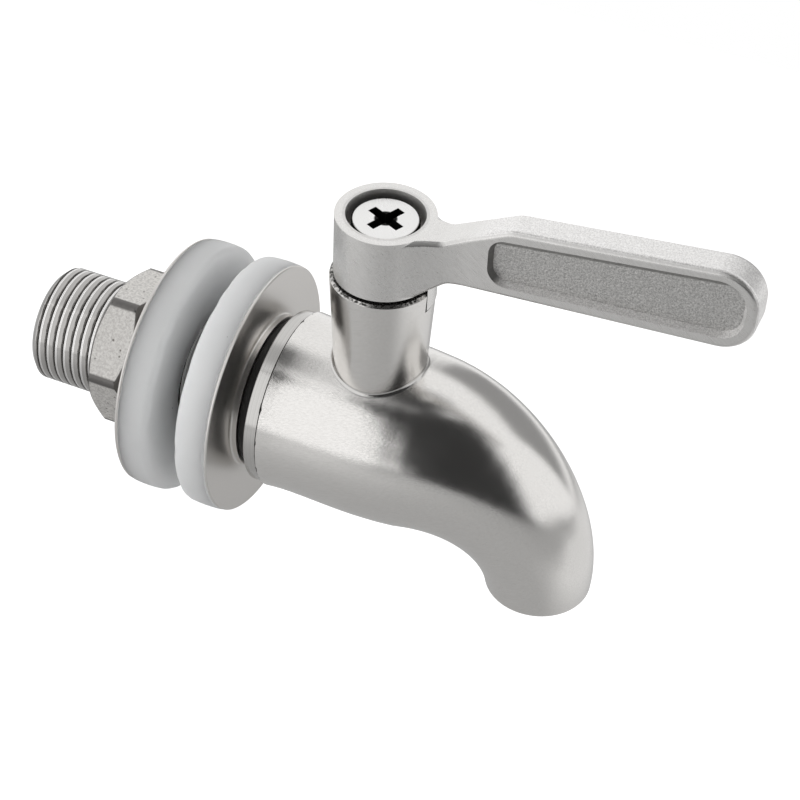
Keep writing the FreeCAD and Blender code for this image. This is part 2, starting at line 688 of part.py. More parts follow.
def draw_half_ball(sketch, radius):
    """Draw a half disc about the sketch's zero, flat against its upright axis."""
    reach = number(radius)
    sketch.addGeometry(Part.LineSegment(Vector(0, -reach, 0), Vector(0, reach, 0)), False)
    arc = Part.Arc(Vector(0, -reach, 0), Vector(reach, 0, 0), Vector(0, reach, 0))
    sketch.addGeometry(arc, False)
    sketch.addConstraint(Sketcher.Constraint("Coincident", 0, 1, 1, 1))
    sketch.addConstraint(Sketcher.Constraint("Coincident", 0, 2, 1, 2))
    sketch.addConstraint(Sketcher.Constraint("Coincident", 1, 3, -1, 1))
    sketch.addConstraint(Sketcher.Constraint("PointOnObject", 0, 1, -2))
    tie(sketch, "Radius", (1,), radius, "ball")


def hollow_for_ball(body):
    """Cut the seat's face to the ball's radius plus its running gap."""
    sketch = on_stem(body, body.Label + "_hollow_outline")
    draw_half_ball(sketch, "ball_r + seat_gap")
    groove(body, body.Label + "_hollow", sketch, "V_Axis")


def make_ball_seat(name, side):
    """A seat on one side of the ball: side is + towards the spout, - towards the vessel."""
    back = "stem_x %s seat_back" % side
    front = "stem_x %s (seat_back - seat_thick)" % side
    body = shank_turning(name, [
        (back, "ball_bore_r"),
        (back, "chamber_r - thread_gap"),
        (front, "chamber_r - thread_gap"),
        (front, "ball_bore_r"),
    ])
    hollow_for_ball(body)
    return body


def make_valve_ball():
    """The ball at rest is closed: its bore lies across the tap, its slot along it."""
    body = new_body("valve_ball")
    outline = on_stem(body, "ball_outline")
    draw_half_ball(outline, "ball_r")
    turn(body, "ball_turning", outline, "V_Axis")

    bore = new_sketch(body, "ball_bore_circle", "XZ_Plane", ("stem_x", "0", "0"))
    draw_circle(bore, "0", "0", "ball_bore_r")
    pocket(body, "ball_bore", bore, "2 * ball_r", midplane=True)

    slot = level(body, "ball_slot_outline", "ball_r")
    half = "(tang_thick / 2 + thread_gap)"
    draw_outline(slot, [
        ("-ball_r", "-" + half),
        ("ball_r", "-" + half),
        ("ball_r", half),
        ("-ball_r", half),
    ])
    pocket(body, "ball_slot", slot, "slot_depth")
    return body


# Stem: turned journal with two seal grooves, a tang for the ball and two
# flats for the lever, held down by a screwed gland in the tower.

def make_stem():
    groove_floor = "journal_r - 2 * ring_wire_r"
    side = "(ring_wire_r + groove_gap)"
    body = stem_turning("stem", [
        ("0", "tang_top"),
        ("spindle_r", "tang_top"),
        ("spindle_r", "journal_foot"),
        ("journal_r", "journal_foot"),
        ("journal_r", "groove_low - " + side),
        (groove_floor, "groove_low - " + side),
        (groove_floor, "groove_low + " + side),
        ("journal_r", "groove_low + " + side),
        ("journal_r", "groove_high - " + side),
        (groove_floor, "groove_high - " + side),
        (groove_floor, "groove_high + " + side),
        ("journal_r", "groove_high + " + side),
        ("journal_r", "journal_top"),
        ("neck_r", "journal_top"),
        ("neck_r", "stem_top"),
        ("0", "stem_top"),
    ])
    tang = level(body, "tang_outline", "tang_top")
    draw_outline(tang, [
        ("-tang_wide / 2", "-tang_thick / 2"),
        ("tang_wide / 2", "-tang_thick / 2"),
        ("tang_wide / 2", "tang_thick / 2"),
        ("-tang_wide / 2", "tang_thick / 2"),
    ])
    pad(body, "tang", tang, "tang_top - (ball_r - slot_depth) - end_gap", back=True)

    for name, sign in (("near_flat", "-"), ("far_flat", "")):
        flat = level(body, name + "_outline", "stem_top")
        draw_outline(flat, [
            ("-2 * neck_r", sign + "stem_flat"),
            ("2 * neck_r", sign + "stem_flat"),
            ("2 * neck_r", sign + "2 * neck_r"),
            ("-2 * neck_r", sign + "2 * neck_r"),
        ])
        pocket(body, name, flat, "stem_top - hub_low")

    tapped = level(body, "tapped_circle", "stem_top")
    draw_circle(tapped, "0", "0", "screw_r + thread_gap")
    pocket(body, "tapped_hole", tapped, "tap_depth")
    return body


def make_thrust_washer():
    return stem_turning("stem_thrust_washer", [
        ("spindle_r + thread_gap", "ledge_z"),
        ("journal_r", "ledge_z"),
        ("journal_r", "journal_foot"),
        ("spindle_r + thread_gap", "journal_foot"),
    ])


def make_stem_ring(name, height):
    return wire_ring(name, on_stem, "journal_r - ring_wire_r",
                     height, "ring_wire_r", "V_Axis")


def make_stem_gland():
    """A screwed ring with two spanner slots in its upper face."""
    body = stem_turning("stem_gland", [
        ("neck_r + thread_gap", "journal_top + thread_gap"),
        ("journal_r", "journal_top + thread_gap"),
        ("journal_r", "gland_top"),
        ("neck_r + thread_gap", "gland_top"),
    ])
    slots = level(body, "spanner_slots_outline", "gland_top")
    draw_outline(slots, [
        ("-spanner_wide / 2", "-tower_bore_r"),
        ("spanner_wide / 2", "-tower_bore_r"),
        ("spanner_wide / 2", "tower_bore_r"),
        ("-spanner_wide / 2", "tower_bore_r"),
    ])
    pocket(body, "spanner_slots", slots, "spanner_deep")
    return body


# Lever: hub, blade and stop lug in one casting. The blade stands on edge,
# has a recess in each side and narrows to a neck beside the hub.

def make_lever_handle():
    body = new_body("lever_handle")
    blade = on_stem(body, "blade_outline")
    draw_outline(blade, [
        ("0", "hub_low + neck_foot"),
        ("hub_r - neck_foot", "hub_low + neck_foot"),
        ("neck_x", "neck_z"),
        ("tip_x", "tip_low"),
        ("tip_x", "tip_high"),
        ("shoulder_x", "shoulder_z"),
        ("heel_x", "hub_top"),
        ("0", "hub_top"),
    ])
    pad(body, "blade", blade, "arm_thick", midplane=True)

    neck = on_stem(body, "neck_outline")
    draw_outline(neck, [
        ("0", "hub_low + neck_foot"),
        ("hub_r - neck_foot", "hub_low + neck_foot"),
        ("neck_x", "neck_z"),
        ("near_fillet_x", "neck_z + under_slope * (near_fillet_x - neck_x)"),
        ("near_fillet_x", "hub_top + upper_slope * (near_fillet_x - heel_x)"),
        ("heel_x", "hub_top"),
        ("0", "hub_top"),
    ])
    pad(body, "neck", neck, "2 * hub_r", midplane=True)

    def across_at(*spots):
        """A test for edges that run across the blade at the given (x, height) places."""
        places = [(number("stem_x + %s" % x), number(z)) for x, z in spots]

        def picked(edge):
            box = edge.BoundBox
            if box.XLength > NEAR or box.ZLength > NEAR:
                return False
            return any(abs(box.XMin - x) + abs(box.ZMin - z) < NEAR for x, z in places)

        return picked

    heel = across_at(("heel_x", "hub_top"), ("neck_x", "neck_z"))
    round_edges(body, "blade_heel", heel, "heel_round")

    for name, sign in (("near", "-"), ("far", "")):
        fillet = name + "_fillet"
        on_hub = "hub_r / (hub_r + %s)" % fillet
        side = level(body, name + "_side_outline", "shoulder_z + overcut")
        draw_neck_cut(side, [
            (fillet + "_x", sign + "arm_thick / 2"),
            ("near_fillet_x + overcut", sign + "arm_thick / 2"),
            ("near_fillet_x + overcut", sign + "2 * hub_r"),
            ("0", sign + "2 * hub_r"),
            ("0", "%s%s_y * %s" % (sign, fillet, on_hub)),
            ("%s_x * %s" % (fillet, on_hub), "%s%s_y * %s" % (sign, fillet, on_hub)),
        ], fillet)
        pocket(body, name + "_side", side, "shoulder_z - hub_low + 2 * overcut")

    tip = across_at(("tip_x", "tip_low"), ("tip_x", "tip_high"))
    round_edges(body, "tip_corners", tip, "tip_corner")
    shoulder = across_at(("shoulder_x", "shoulder_z"))
    round_edges(body, "blade_shoulder", shoulder, "shoulder_round")
    def on_blade_rim(edge):
        box = edge.BoundBox
        at_side = box.YLength < NEAR and abs(abs(box.YMin) - number("arm_thick / 2")) < NEAR
        return at_side and box.XMax > number("stem_x + shoulder_x")

    round_edges(body, "blade_edges", on_blade_rim, "arm_edge")

    for name, side in (("near_recess", "arm_thick / 2"), ("far_recess", "-arm_thick / 2")):
        recess = new_sketch(body, name + "_outline", "XZ_Plane", ("stem_x", "0", side))
        inner_corner = "tip_corner - recess_rim"
        draw_round_outline(recess, [
            ("recess_x", "neck_z + recess_rim_in", "recess_round"),
            ("tip_x - recess_rim", "tip_low + recess_rim", inner_corner),
            ("tip_x - recess_rim", "tip_high - recess_rim", inner_corner),
            ("recess_x", "shoulder_z - recess_rim_in", "recess_round"),
        ])
        pocket(body, name, recess, "recess_depth", back=name == "far_recess", draft="-recess_draft")

    hub = level(body, "hub_circle", "hub_low")
    draw_circle(hub, "0", "0", "hub_r")
    pad(body, "hub", hub, "hub_top - hub_low")

    lug = level(body, "lug_outline", "lug_low")
    first = "(stop_start + stop_play)"
    last = "(stop_start + stop_play + stop_wide)"
    draw_sector(lug, "tower_bore_r + thread_gap", "tower_r - thread_gap", first, last)
    pad(body, "stop_lug", lug, "hub_low + stop_rise - lug_low")

    sink = level(body, "hub_sink_circle", "hub_top")
    draw_circle(sink, "0", "0", "hub_sink_r")
    pocket(body, "hub_sink", sink, "hub_sink_depth")

    drive = level(body, "drive_hole_outline", "hub_floor")
    draw_double_d(drive, "neck_r + thread_gap", "stem_flat + thread_gap")
    pocket(body, "drive_hole", drive, "hub_floor - hub_low")
    return body


# Handle screw and spring washer: they clamp the hub down onto the stem.

def make_handle_screw():
    body = stem_turning("handle_screw", [
        ("0", "hub_floor - screw_long"),
        ("screw_r", "hub_floor - screw_long"),
        ("screw_r", "head_low"),
        ("head_r", "head_low"),
        ("head_r", "head_top - head_edge"),
        ("head_r - head_edge", "head_top"),
        ("0", "head_top"),
    ])
    for name, extra in (("first_arms", "0"), ("second_arms", "quarter_turn")):
        arms = level(body, name + "_outline", "head_top")
        angle = "((cross_angle + %s) * 1 deg)" % extra
        draw_outline(arms, [
            swung("-cross_reach", "-cross_wide / 2", angle),
            swung("cross_reach", "-cross_wide / 2", angle),
            swung("cross_reach", "cross_wide / 2", angle),
            swung("-cross_reach", "cross_wide / 2", angle),
        ])
        pocket(body, name, arms, "cross_depth", draft="-cross_draft")
    return body


def make_spring_washer():
    body = stem_turning("spring_washer", [
        ("spring_bore_r", "hub_floor"),
        ("spring_bore_r + spring_wide", "hub_floor"),
        ("spring_bore_r + spring_wide", "head_low"),
        ("spring_bore_r", "head_low"),
    ])
    cut = level(body, "spring_cut_outline", "head_low")
    draw_outline(cut, [
        ("spring_bore_r - thread_gap", "-spring_cut"),
        ("head_r + thread_gap", "0"),
        ("head_r + thread_gap", "spring_cut"),
        ("spring_bore_r - thread_gap", "0"),
    ])
    pocket(body, "spring_gap", cut, "spring_thick")
    return body


# What clamps the vessel's wall: gasket, washers and nut, all on the shank.

def make_flange_gasket():
    return ring_turning("flange_gasket", [
        ("collar_x - gasket_thick", "undercut_r + thread_gap", "gasket_round"),
        ("collar_x", "undercut_r + thread_gap", "gasket_round"),
        ("collar_x", "gasket_r", "gasket_round"),
        ("collar_x - gasket_thick", "gasket_r", "gasket_round"),
    ])


def make_front_steel_washer():
    """A stamped steel washer with a short lip pressed up round its bore."""
    body = make_steel_washer("front_steel_washer", "soft_thick")
    lip = on_shank(body, "lip_outline")
    draw_outline(lip, [
        ("soft_thick", "washer_bore_r"),
        ("soft_thick", "lip_r"),
        ("soft_thick + steel_thick + lip_rise", "lip_r"),
        ("soft_thick + steel_thick + lip_rise", "washer_bore_r"),
    ])
    turn(body, "lip", lip, "H_Axis")

    def at_lip_foot(edge):
        box = edge.BoundBox
        at_face = abs(box.XMin - number("soft_thick + steel_thick")) < NEAR and box.XLength < NEAR
        return at_face and abs(box.ZMax - number("lip_r")) < NEAR

    round_edges(body, "lip_root", at_lip_foot, "lip_root")
    return body


def make_steel_washer(name, low_x):
    """A stamped steel washer whose back face lies at low_x."""
    high_x = "%s + steel_thick" % low_x
    return shank_turning(name, [
        (low_x, "washer_bore_r"),
        (low_x, "steel_r - steel_edge"),
        ("%s + steel_edge" % low_x, "steel_r"),
        ("%s - steel_edge" % high_x, "steel_r"),
        (high_x, "steel_r - steel_edge"),
        (high_x, "washer_bore_r"),
    ])


def make_soft_washer(name, low_x):
    """A moulded silicone washer whose back face lies at low_x."""
    high_x = "%s + soft_thick" % low_x
    return ring_turning(name, [
        (low_x, "washer_bore_r", "soft_bore_round"),
        (high_x, "washer_bore_r", "soft_bore_round"),
        (high_x, "soft_r", "soft_round"),
        (low_x, "soft_r", "soft_round"),
    ])


def make_hex_nut():
    """A thick hexagon nut, its corners turned down and bevelled to a cone at both ends."""
    body = new_body("hex_nut")
    hexagon = new_sketch(body, "nut_hexagon", "YZ_Plane", ("0", "0", "nut_x"))
    corners = []
    for index in range(6):
        angle = "((nut_angle + %d) * 1 deg)" % (60 * index)
        corners.append(swung("nut_corner_r", "0", angle))
    draw_outline(hexagon, corners)
    pad(body, "nut_blank", hexagon, "nut_thick", back=True)

    bore = new_sketch(body, "nut_bore_circle", "YZ_Plane", ("0", "0", "nut_x"))
    draw_circle(bore, "0", "0", "thread_r + thread_gap")
    pocket(body, "nut_bore", bore, "nut_thick")

    turned = on_shank(body, "nut_turned_outline")
    draw_outline(turned, [
        ("nut_x", "nut_face_r"),
        ("nut_x - nut_bevel", "nut_turned_r"),
        ("nut_x - nut_thick + nut_bevel", "nut_turned_r"),
        ("nut_x - nut_thick", "nut_face_r"),
        ("nut_x - nut_thick", "nut_corner_r + overcut"),
        ("nut_x", "nut_corner_r + overcut"),
    ])
    groove(body, "nut_turned", turned, "H_Axis")
    return body


PARTS = [
    make_body_casting(),
    make_threaded_shank(),
    make_shank_seal_ring(),
    make_ball_seat("rear_ball_seat", "-"),
    make_ball_seat("front_ball_seat", "+"),
    make_valve_ball(),
    make_stem(),
    make_thrust_washer(),
    make_stem_ring("stem_lower_ring", "groove_low"),
    make_stem_ring("stem_upper_ring", "groove_high"),
    make_stem_gland(),
    make_lever_handle(),
    make_handle_screw(),
    make_spring_washer(),
    make_flange_gasket(),
    make_front_steel_washer(),
    make_soft_washer("front_silicone_washer", "0"),
    make_soft_washer("rear_silicone_washer", "rear_soft_x - soft_thick"),
    make_steel_washer("rear_steel_washer", "rear_steel_x - steel_thick"),
    make_hex_nut(),
]

doc.recompute()
for item in doc.Objects:
    if "Invalid" in item.State or "Error" in item.State:
        raise ValueError("%s is %s" % (item.Name, item.State))
for body in PARTS:
    shape = body.Shape
    if shape.isNull() or not shape.isValid() or len(shape.Solids) != 1:
        raise ValueError("%s is not one valid solid" % body.Label)

os.makedirs("parts", exist_ok=True)
for body in PARTS:
    body.Shape.exportStep("parts/%s.step" % body.Label)
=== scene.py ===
import math

import bpy
from mathutils import Matrix, Vector, noise


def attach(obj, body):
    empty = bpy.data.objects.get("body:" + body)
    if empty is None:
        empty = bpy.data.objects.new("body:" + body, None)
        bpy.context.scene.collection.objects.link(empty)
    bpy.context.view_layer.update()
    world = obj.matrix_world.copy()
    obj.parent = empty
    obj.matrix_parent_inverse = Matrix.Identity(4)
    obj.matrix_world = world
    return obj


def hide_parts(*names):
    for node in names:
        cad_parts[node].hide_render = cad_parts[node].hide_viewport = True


# A small lever ball tap for a drinks vessel, in metres. The shank runs along X
# and the vessel's outer wall is at X = 0. The lever turns about an upright axis.
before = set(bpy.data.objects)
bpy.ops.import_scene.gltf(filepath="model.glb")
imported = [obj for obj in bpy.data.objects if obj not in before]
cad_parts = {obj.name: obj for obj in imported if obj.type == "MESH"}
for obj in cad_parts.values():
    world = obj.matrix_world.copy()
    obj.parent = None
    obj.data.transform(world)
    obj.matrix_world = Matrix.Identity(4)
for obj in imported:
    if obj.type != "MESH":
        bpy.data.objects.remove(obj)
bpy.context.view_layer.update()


# Body casting: barrel, bent spout and tower are one investment casting of
# stainless steel, ground smooth and polished by hand to a satin shine. The
# polishing leaves cloudy patches and fine scratches that follow the barrel.

def add_node(tree, kind, inputs=None, **settings):
    """Add a node, change its settings, and link or set its inputs by name or number."""
    node = tree.nodes.new(kind)
    for name, value in settings.items():
        setattr(node, name, value)
    for key, value in (inputs or {}).items():
        if isinstance(value, bpy.types.NodeSocket):
            tree.links.new(value, node.inputs[key])
        else:
            node.inputs[key].default_value = value
    return node


def math_node(tree, operation, *values):
    """The result of one sum on sockets or numbers."""
    return add_node(tree, "ShaderNodeMath", dict(enumerate(values)), operation=operation).outputs[0]


def remap(tree, value, low, high, new_low, new_high, steps="LINEAR"):
    """The value moved from one range to another and kept inside it."""
    inputs = {"Value": value, "From Min": low, "From Max": high, "To Min": new_low, "To Max": new_high}
    node = add_node(tree, "ShaderNodeMapRange", inputs, interpolation_type=steps)
    return node.outputs["Result"]


def above(tree, value, low, high, steps="LINEAR"):
    """A mask that rises from 0 at low to 1 at high."""
    return remap(tree, value, low, high, 0.0, 1.0, steps)


def below(tree, value, low, high, steps="LINEAR"):
    """A mask that falls from 1 at low to 0 at high."""
    return remap(tree, value, low, high, 1.0, 0.0, steps)


def both(tree, first, *others):
    """The masks multiplied, which is 1 only where every one of them is."""
    for other in others:
        first = math_node(tree, "MULTIPLY", first, other)
    return first


def split(tree, vector):
    """The X, Y and Z of a vector."""
    return add_node(tree, "ShaderNodeSeparateXYZ", {"Vector": vector}).outputs


def radius_of(tree, first, second):
    """The distance from an axis, from the two coordinates across it."""
    first = math_node(tree, "POWER", first, 2.0)
    second = math_node(tree, "POWER", second, 2.0)
    return math_node(tree, "SQRT", math_node(tree, "ADD", first, second))


def new_group(name, group_kind, inputs, outputs):
    """An empty node group: inputs as (name, kind, default), outputs as (name, kind)."""
    tree = bpy.data.node_groups.new(name, group_kind)
    for label, kind, value in inputs:
        socket = tree.interface.new_socket(label, in_out="INPUT", socket_type=kind)
        if value is not None:
            socket.default_value = value
    for label, kind in outputs:
        tree.interface.new_socket(label, in_out="OUTPUT", socket_type=kind)
    given = tree.nodes.new("NodeGroupInput").outputs
    result = tree.nodes.new("NodeGroupOutput").inputs
    return tree, given, result


def make_polish_marks():
    """Cloudy patches and long fine scratches, both as roughness and as height."""
    tree, given, result = new_group(
        "polish marks", "ShaderNodeTree",
        [
            ("Position", "NodeSocketVector", None),
            ("Roughness", "NodeSocketFloat", 0.2),
            ("Cloudiness", "NodeSocketFloat", 0.06),
            ("Scratches", "NodeSocketFloat", 0.05),
            ("Scratch Stretch", "NodeSocketFloat", 14.0),
        ],
        [("Roughness", "NodeSocketFloat"), ("Height", "NodeSocketFloat")],
    )
    clouds = add_node(tree, "ShaderNodeTexNoise", {
        "Vector": given["Position"], "Scale": 190.0, "Detail": 3.0, "Roughness": 0.55,
    })
    stretch = add_node(tree, "ShaderNodeCombineXYZ", {
        "X": 1.0, "Y": given["Scratch Stretch"], "Z": given["Scratch Stretch"],
    })
    stretched = add_node(tree, "ShaderNodeVectorMath", {
        0: given["Position"], 1: stretch.outputs["Vector"],
    }, operation="MULTIPLY")
    lines = add_node(tree, "ShaderNodeTexNoise", {
        "Vector": stretched.outputs["Vector"], "Scale": 420.0, "Detail": 4.0, "Roughness": 0.7,
    })
    cloud = math_node(tree, "SUBTRACT", clouds.outputs["Fac"], 0.5)
    cloud = math_node(tree, "MULTIPLY", cloud, given["Cloudiness"])
    line = above(tree, lines.outputs["Fac"], 0.35, 0.65)
    marked = math_node(tree, "MULTIPLY", line, given["Scratches"])
    rough = math_node(tree, "ADD", given["Roughness"], cloud)
    rough = math_node(tree, "ADD", rough, marked)
    tree.links.new(rough, result["Roughness"])
    tree.links.new(line, result["Height"])
    return tree


def make_dark_seam():
    """A ragged dark line where burrs and grime fill the joint between two turned pieces."""
    tree, given, result = new_group(
        "dark seam", "ShaderNodeTree",
        [
            ("Position", "NodeSocketVector", None),
            ("Seam", "NodeSocketFloat", 0.0),
            ("Half Width", "NodeSocketFloat", 0.0001),
            ("Raggedness", "NodeSocketFloat", 0.0002),
        ],
        [("Grime", "NodeSocketFloat")],
    )
    along = split(tree, given["Position"])["X"]
    nicks = add_node(tree, "ShaderNodeTexNoise", {
        "Vector": given["Position"], "Scale": 700.0, "Detail": 2.0,
    })
    nick = above(tree, nicks.outputs["Fac"], 0.56, 0.72)
    nick = math_node(tree, "MULTIPLY", nick, given["Raggedness"])
    reach = math_node(tree, "ADD", given["Half Width"], nick)
    off = math_node(tree, "ABSOLUTE", math_node(tree, "SUBTRACT", along, given["Seam"]))
    darkening = below(tree, math_node(tree, "DIVIDE", off, reach), 0.7, 1.0)
    tree.links.new(darkening, result["Grime"])
    return tree


def new_material(name, metallic):
    """A material with its tree, its shader and the piece's own coordinates."""
    material = bpy.data.materials.new(name)
    material.use_nodes = True
    tree = material.node_tree
    shader = tree.nodes["Principled BSDF"]
    shader.inputs["Metallic"].default_value = metallic
    place = tree.nodes.new("ShaderNodeTexCoord").outputs["Object"]
    return material, tree, shader, place


def turned(tree, place, centre, angles):
    """Coordinates moved to a centre and turned by angles in degrees."""
    moved = add_node(tree, "ShaderNodeMapping", {
        "Vector": place, "Location": [-part for part in centre],
    }, vector_type="POINT")
    turn = add_node(tree, "ShaderNodeMapping", {
        "Vector": moved.outputs["Vector"], "Rotation": [math.radians(angle) for angle in angles],
    }, vector_type="POINT")
    return turn.outputs["Vector"]


def mix_colours(tree, share, low, high):
    """A colour between two, each a colour of three parts or a socket."""
    low, high = (
        colour if isinstance(colour, bpy.types.NodeSocket) else (*colour, 1.0) for colour in (low, high)
    )
    mix = add_node(tree, "ShaderNodeMix", {0: share, 6: low, 7: high}, data_type="RGBA")
    return mix.outputs[2]


def mix_values(tree, share, low, high):
    """A number between two, each a number or a socket."""
    return add_node(tree, "ShaderNodeMix", {0: share, 2: low, 3: high}).outputs[0]


def set_look(tree, shader, colour, roughness, height=None, depth=0.0):
    """Give the shader its colour, its roughness, and a bump whose depth is in metres."""
    if isinstance(colour, bpy.types.NodeSocket):
        tree.links.new(colour, shader.inputs["Base Color"])
    else:
        shader.inputs["Base Color"].default_value = (*colour, 1.0)
    tree.links.new(roughness, shader.inputs["Roughness"])
    if height is not None:
        bump = add_node(tree, "ShaderNodeBump", {"Height": height, "Distance": depth, "Strength": 1.0})
        tree.links.new(bump.outputs["Normal"], shader.inputs["Normal"])


def paint(material, *nodes):
    """Give a material to every slot of these nodes of the frame."""
    for node in nodes:
        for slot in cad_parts[node].material_slots:
            slot.material = material


stem_x = 0.0224
collar_front = 0.0096
tower_top = 0.027
tower_radius_at_axis = 0.005688
tower_widening = 0.05426
root_width = 0.0005
root_reach = 0.0132
grime_and_shade_colour = (0.05, 0.048, 0.045)

polish_marks = make_polish_marks()
dark_seam = make_dark_seam()

cast_steel, tree, shader, place = new_material("satin cast steel", 1.0)
along, across, height_up = split(tree, place)
marks = add_node(tree, "ShaderNodeGroup", {
    "Position": turned(tree, place, (stem_x, 0.0, 0.0), (0.0, 22.0, 8.0)),
    "Roughness": 0.12, "Cloudiness": 0.1, "Scratches": 0.09,
}, node_tree=polish_marks)
seam = add_node(tree, "ShaderNodeGroup", {
    "Position": place, "Seam": collar_front, "Half Width": 0.00013, "Raggedness": 0.00018,
}, node_tree=dark_seam)

# Painted shade lies on the tower's top face in the gap under the hub, broken by bright specks, and grime
# lies along the seam.
sparkle = add_node(tree, "ShaderNodeTexNoise", {"Vector": place, "Scale": 2600.0, "Detail": 1.0})
tower_top_shade = both(
    tree, above(tree, height_up, tower_top - 0.0001, tower_top + 0.0001),
    remap(tree, sparkle.outputs["Fac"], 0.4, 0.62, 1.0, 0.25),
)
darkening = math_node(tree, "MAXIMUM", seam.outputs["Grime"], tower_top_shade)

# The fillet round the tower's root is painted darker: painted shade in the crease, and partly the
# residue that the polishing wheel can't reach.
from_stem = radius_of(tree, math_node(tree, "SUBTRACT", along, stem_x), across)
tower_wall = math_node(tree, "MULTIPLY_ADD", height_up, tower_widening, tower_radius_at_axis)
off_wall = math_node(tree, "ABSOLUTE", math_node(tree, "SUBTRACT", from_stem, tower_wall))
from_barrel = radius_of(tree, across, height_up)
crease_shade = both(
    tree, below(tree, off_wall, 0.7 * root_width, root_width),
    below(tree, from_barrel, root_reach - 0.0001, root_reach + 0.0001),
)

bare = mix_colours(tree, marks.outputs["Height"], (0.8, 0.785, 0.765), (0.73, 0.715, 0.695))
# The crease round the tower's root gets painted shade.
bare = mix_colours(tree, crease_shade, bare, (0.6, 0.59, 0.575))
# Painted shade on the tower's top face and grime along the seam darken the steel.
shade = mix_colours(tree, darkening, bare, grime_and_shade_colour)
rough = mix_values(tree, darkening, marks.outputs["Roughness"], 0.5)
set_look(tree, shader, shade, rough, marks.outputs["Height"], 0.000003)
paint(cast_steel, "body_casting")


# Threaded shank: turned from one bar, with a collar, a bore and a pipe thread of 19 turns to the inch.
# The thread is cut into a smooth turned ring, its grooves are painted dark as shade, and thin painted
# highlights run beside its crests.

def make_turning_rings():
    """Rings that a lathe tool leaves round the X axis, as roughness and as height."""
    tree, given, result = new_group(
        "turning rings", "ShaderNodeTree",
        [
            ("Position", "NodeSocketVector", None),
            ("Roughness", "NodeSocketFloat", 0.2),
            ("Unevenness", "NodeSocketFloat", 0.08),
            ("Rings per Metre", "NodeSocketFloat", 5000.0),
        ],
        [("Roughness", "NodeSocketFloat"), ("Height", "NodeSocketFloat")],
    )
    x, y, z = split(tree, given["Position"])
    along = math_node(tree, "ADD", radius_of(tree, y, z), x)
    ring = math_node(tree, "MULTIPLY", along, given["Rings per Metre"])
    lines = add_node(tree, "ShaderNodeTexNoise", {
        "W": ring, "Scale": 1.0, "Detail": 3.0, "Roughness": 0.6,
    }, noise_dimensions="1D")
    uneven = math_node(tree, "MULTIPLY", lines.outputs["Fac"], given["Unevenness"])
    rough = math_node(tree, "ADD", given["Roughness"], uneven)
    tree.links.new(rough, result["Roughness"])
    tree.links.new(lines.outputs["Fac"], result["Height"])
    return tree


def lathe(name, outline, steps):
    """A closed ring turned about the X axis from an outline of (x, radius) corners."""
    rows = len(outline)
    spots = []
    for x, radius in outline:
        for step in range(steps):
            angle = 2 * math.pi * step / steps
            spots.append((x, radius * math.cos(angle), radius * math.sin(angle)))
    faces = []
    for row in range(rows):
        following = (row + 1) % rows
        for step in range(steps):
            ahead = (step + 1) % steps
            faces.append((
                row * steps + step,
                row * steps + ahead,
                following * steps + ahead,
                following * steps + step,
            ))
    mesh = bpy.data.meshes.new(name)
    mesh.from_pydata(spots, [], faces)
    mesh.update()
    mesh.polygons.foreach_set("use_smooth", [True] * len(mesh.polygons))
    piece = bpy.data.objects.new(name, mesh)
    bpy.context.scene.collection.objects.link(piece)
    return piece


def thread_phase(tree, place, start, pitch):
    """Turns of the thread from its start: a whole number on a crest, a half in a groove."""
    x, y, z = place
    turns = math_node(tree, "DIVIDE", math_node(tree, "ARCTAN2", z, y), 2 * math.pi)
    rows = math_node(tree, "DIVIDE", math_node(tree, "SUBTRACT", x, start), pitch)
    return math_node(tree, "SUBTRACT", rows, turns)


def move_and_paint(tree, given, result, place, scale, chosen=True):
    """Scale the chosen points about the X axis, then end the tree in plain painted geometry."""
    x, y, z = place
    new_place = add_node(tree, "ShaderNodeCombineXYZ", {
        "X": x, "Y": math_node(tree, "MULTIPLY", y, scale), "Z": math_node(tree, "MULTIPLY", z, scale),
    }).outputs["Vector"]
    moved = add_node(tree, "GeometryNodeSetPosition", {
        "Geometry": given["Geometry"], "Selection": chosen, "Position": new_place,
    }).outputs["Geometry"]
    real = add_node(tree, "GeometryNodeRealizeInstances", {"Geometry": moved}).outputs["Geometry"]
    painted = add_node(tree, "GeometryNodeSetMaterial", {
        "Geometry": real, "Material": given["Material"],
    }).outputs["Geometry"]
    tree.links.new(painted, result["Geometry"])


def make_thread_cutter():
    """Cut a right-handed thread about the X axis into whatever stands near its crest."""
    tree, given, result = new_group(
        "cut a thread", "GeometryNodeTree",
        [
            ("Geometry", "NodeSocketGeometry", None),
            ("Crest Radius", "NodeSocketFloat", 0.01),
            ("Pitch", "NodeSocketFloat", 0.001),
            ("Depth", "NodeSocketFloat", 0.0005),
            ("Crest Share", "NodeSocketFloat", 0.25),
            ("Start", "NodeSocketFloat", 0.0),
            ("End", "NodeSocketFloat", 0.01),
            ("Run Out", "NodeSocketFloat", 0.001),
            ("Material", "NodeSocketMaterial", None),
        ],
        [("Geometry", "NodeSocketGeometry")],
    )
    x, y, z = split(tree, tree.nodes.new("GeometryNodeInputPosition").outputs["Position"])
    radius = radius_of(tree, y, z)
    phase = thread_phase(tree, (x, y, z), given["Start"], given["Pitch"])
    off_crest = math_node(tree, "PINGPONG", phase, 0.5)
    cut = remap(tree, off_crest, given["Crest Share"], 0.5, 0.0, given["Depth"], "SMOOTHSTEP")
    to_end = math_node(tree, "SUBTRACT", given["End"], x)
    cut = math_node(tree, "MULTIPLY", cut, above(tree, to_end, 0.0, given["Run Out"]))
    floor_radius = math_node(tree, "SUBTRACT", given["Crest Radius"], cut)
    new_radius = math_node(tree, "MINIMUM", radius, floor_radius)
    scale = math_node(tree, "DIVIDE", new_radius, radius)
    below_groove = math_node(tree, "MULTIPLY", given["Depth"], 1.5)
    reach = math_node(tree, "SUBTRACT", given["Crest Radius"], below_groove)
    outside = math_node(tree, "GREATER_THAN", radius, reach)
    chosen = both(tree, outside, math_node(tree, "GREATER_THAN", to_end, 0.0))
    move_and_paint(tree, given, result, (x, y, z), scale, chosen)
    return tree


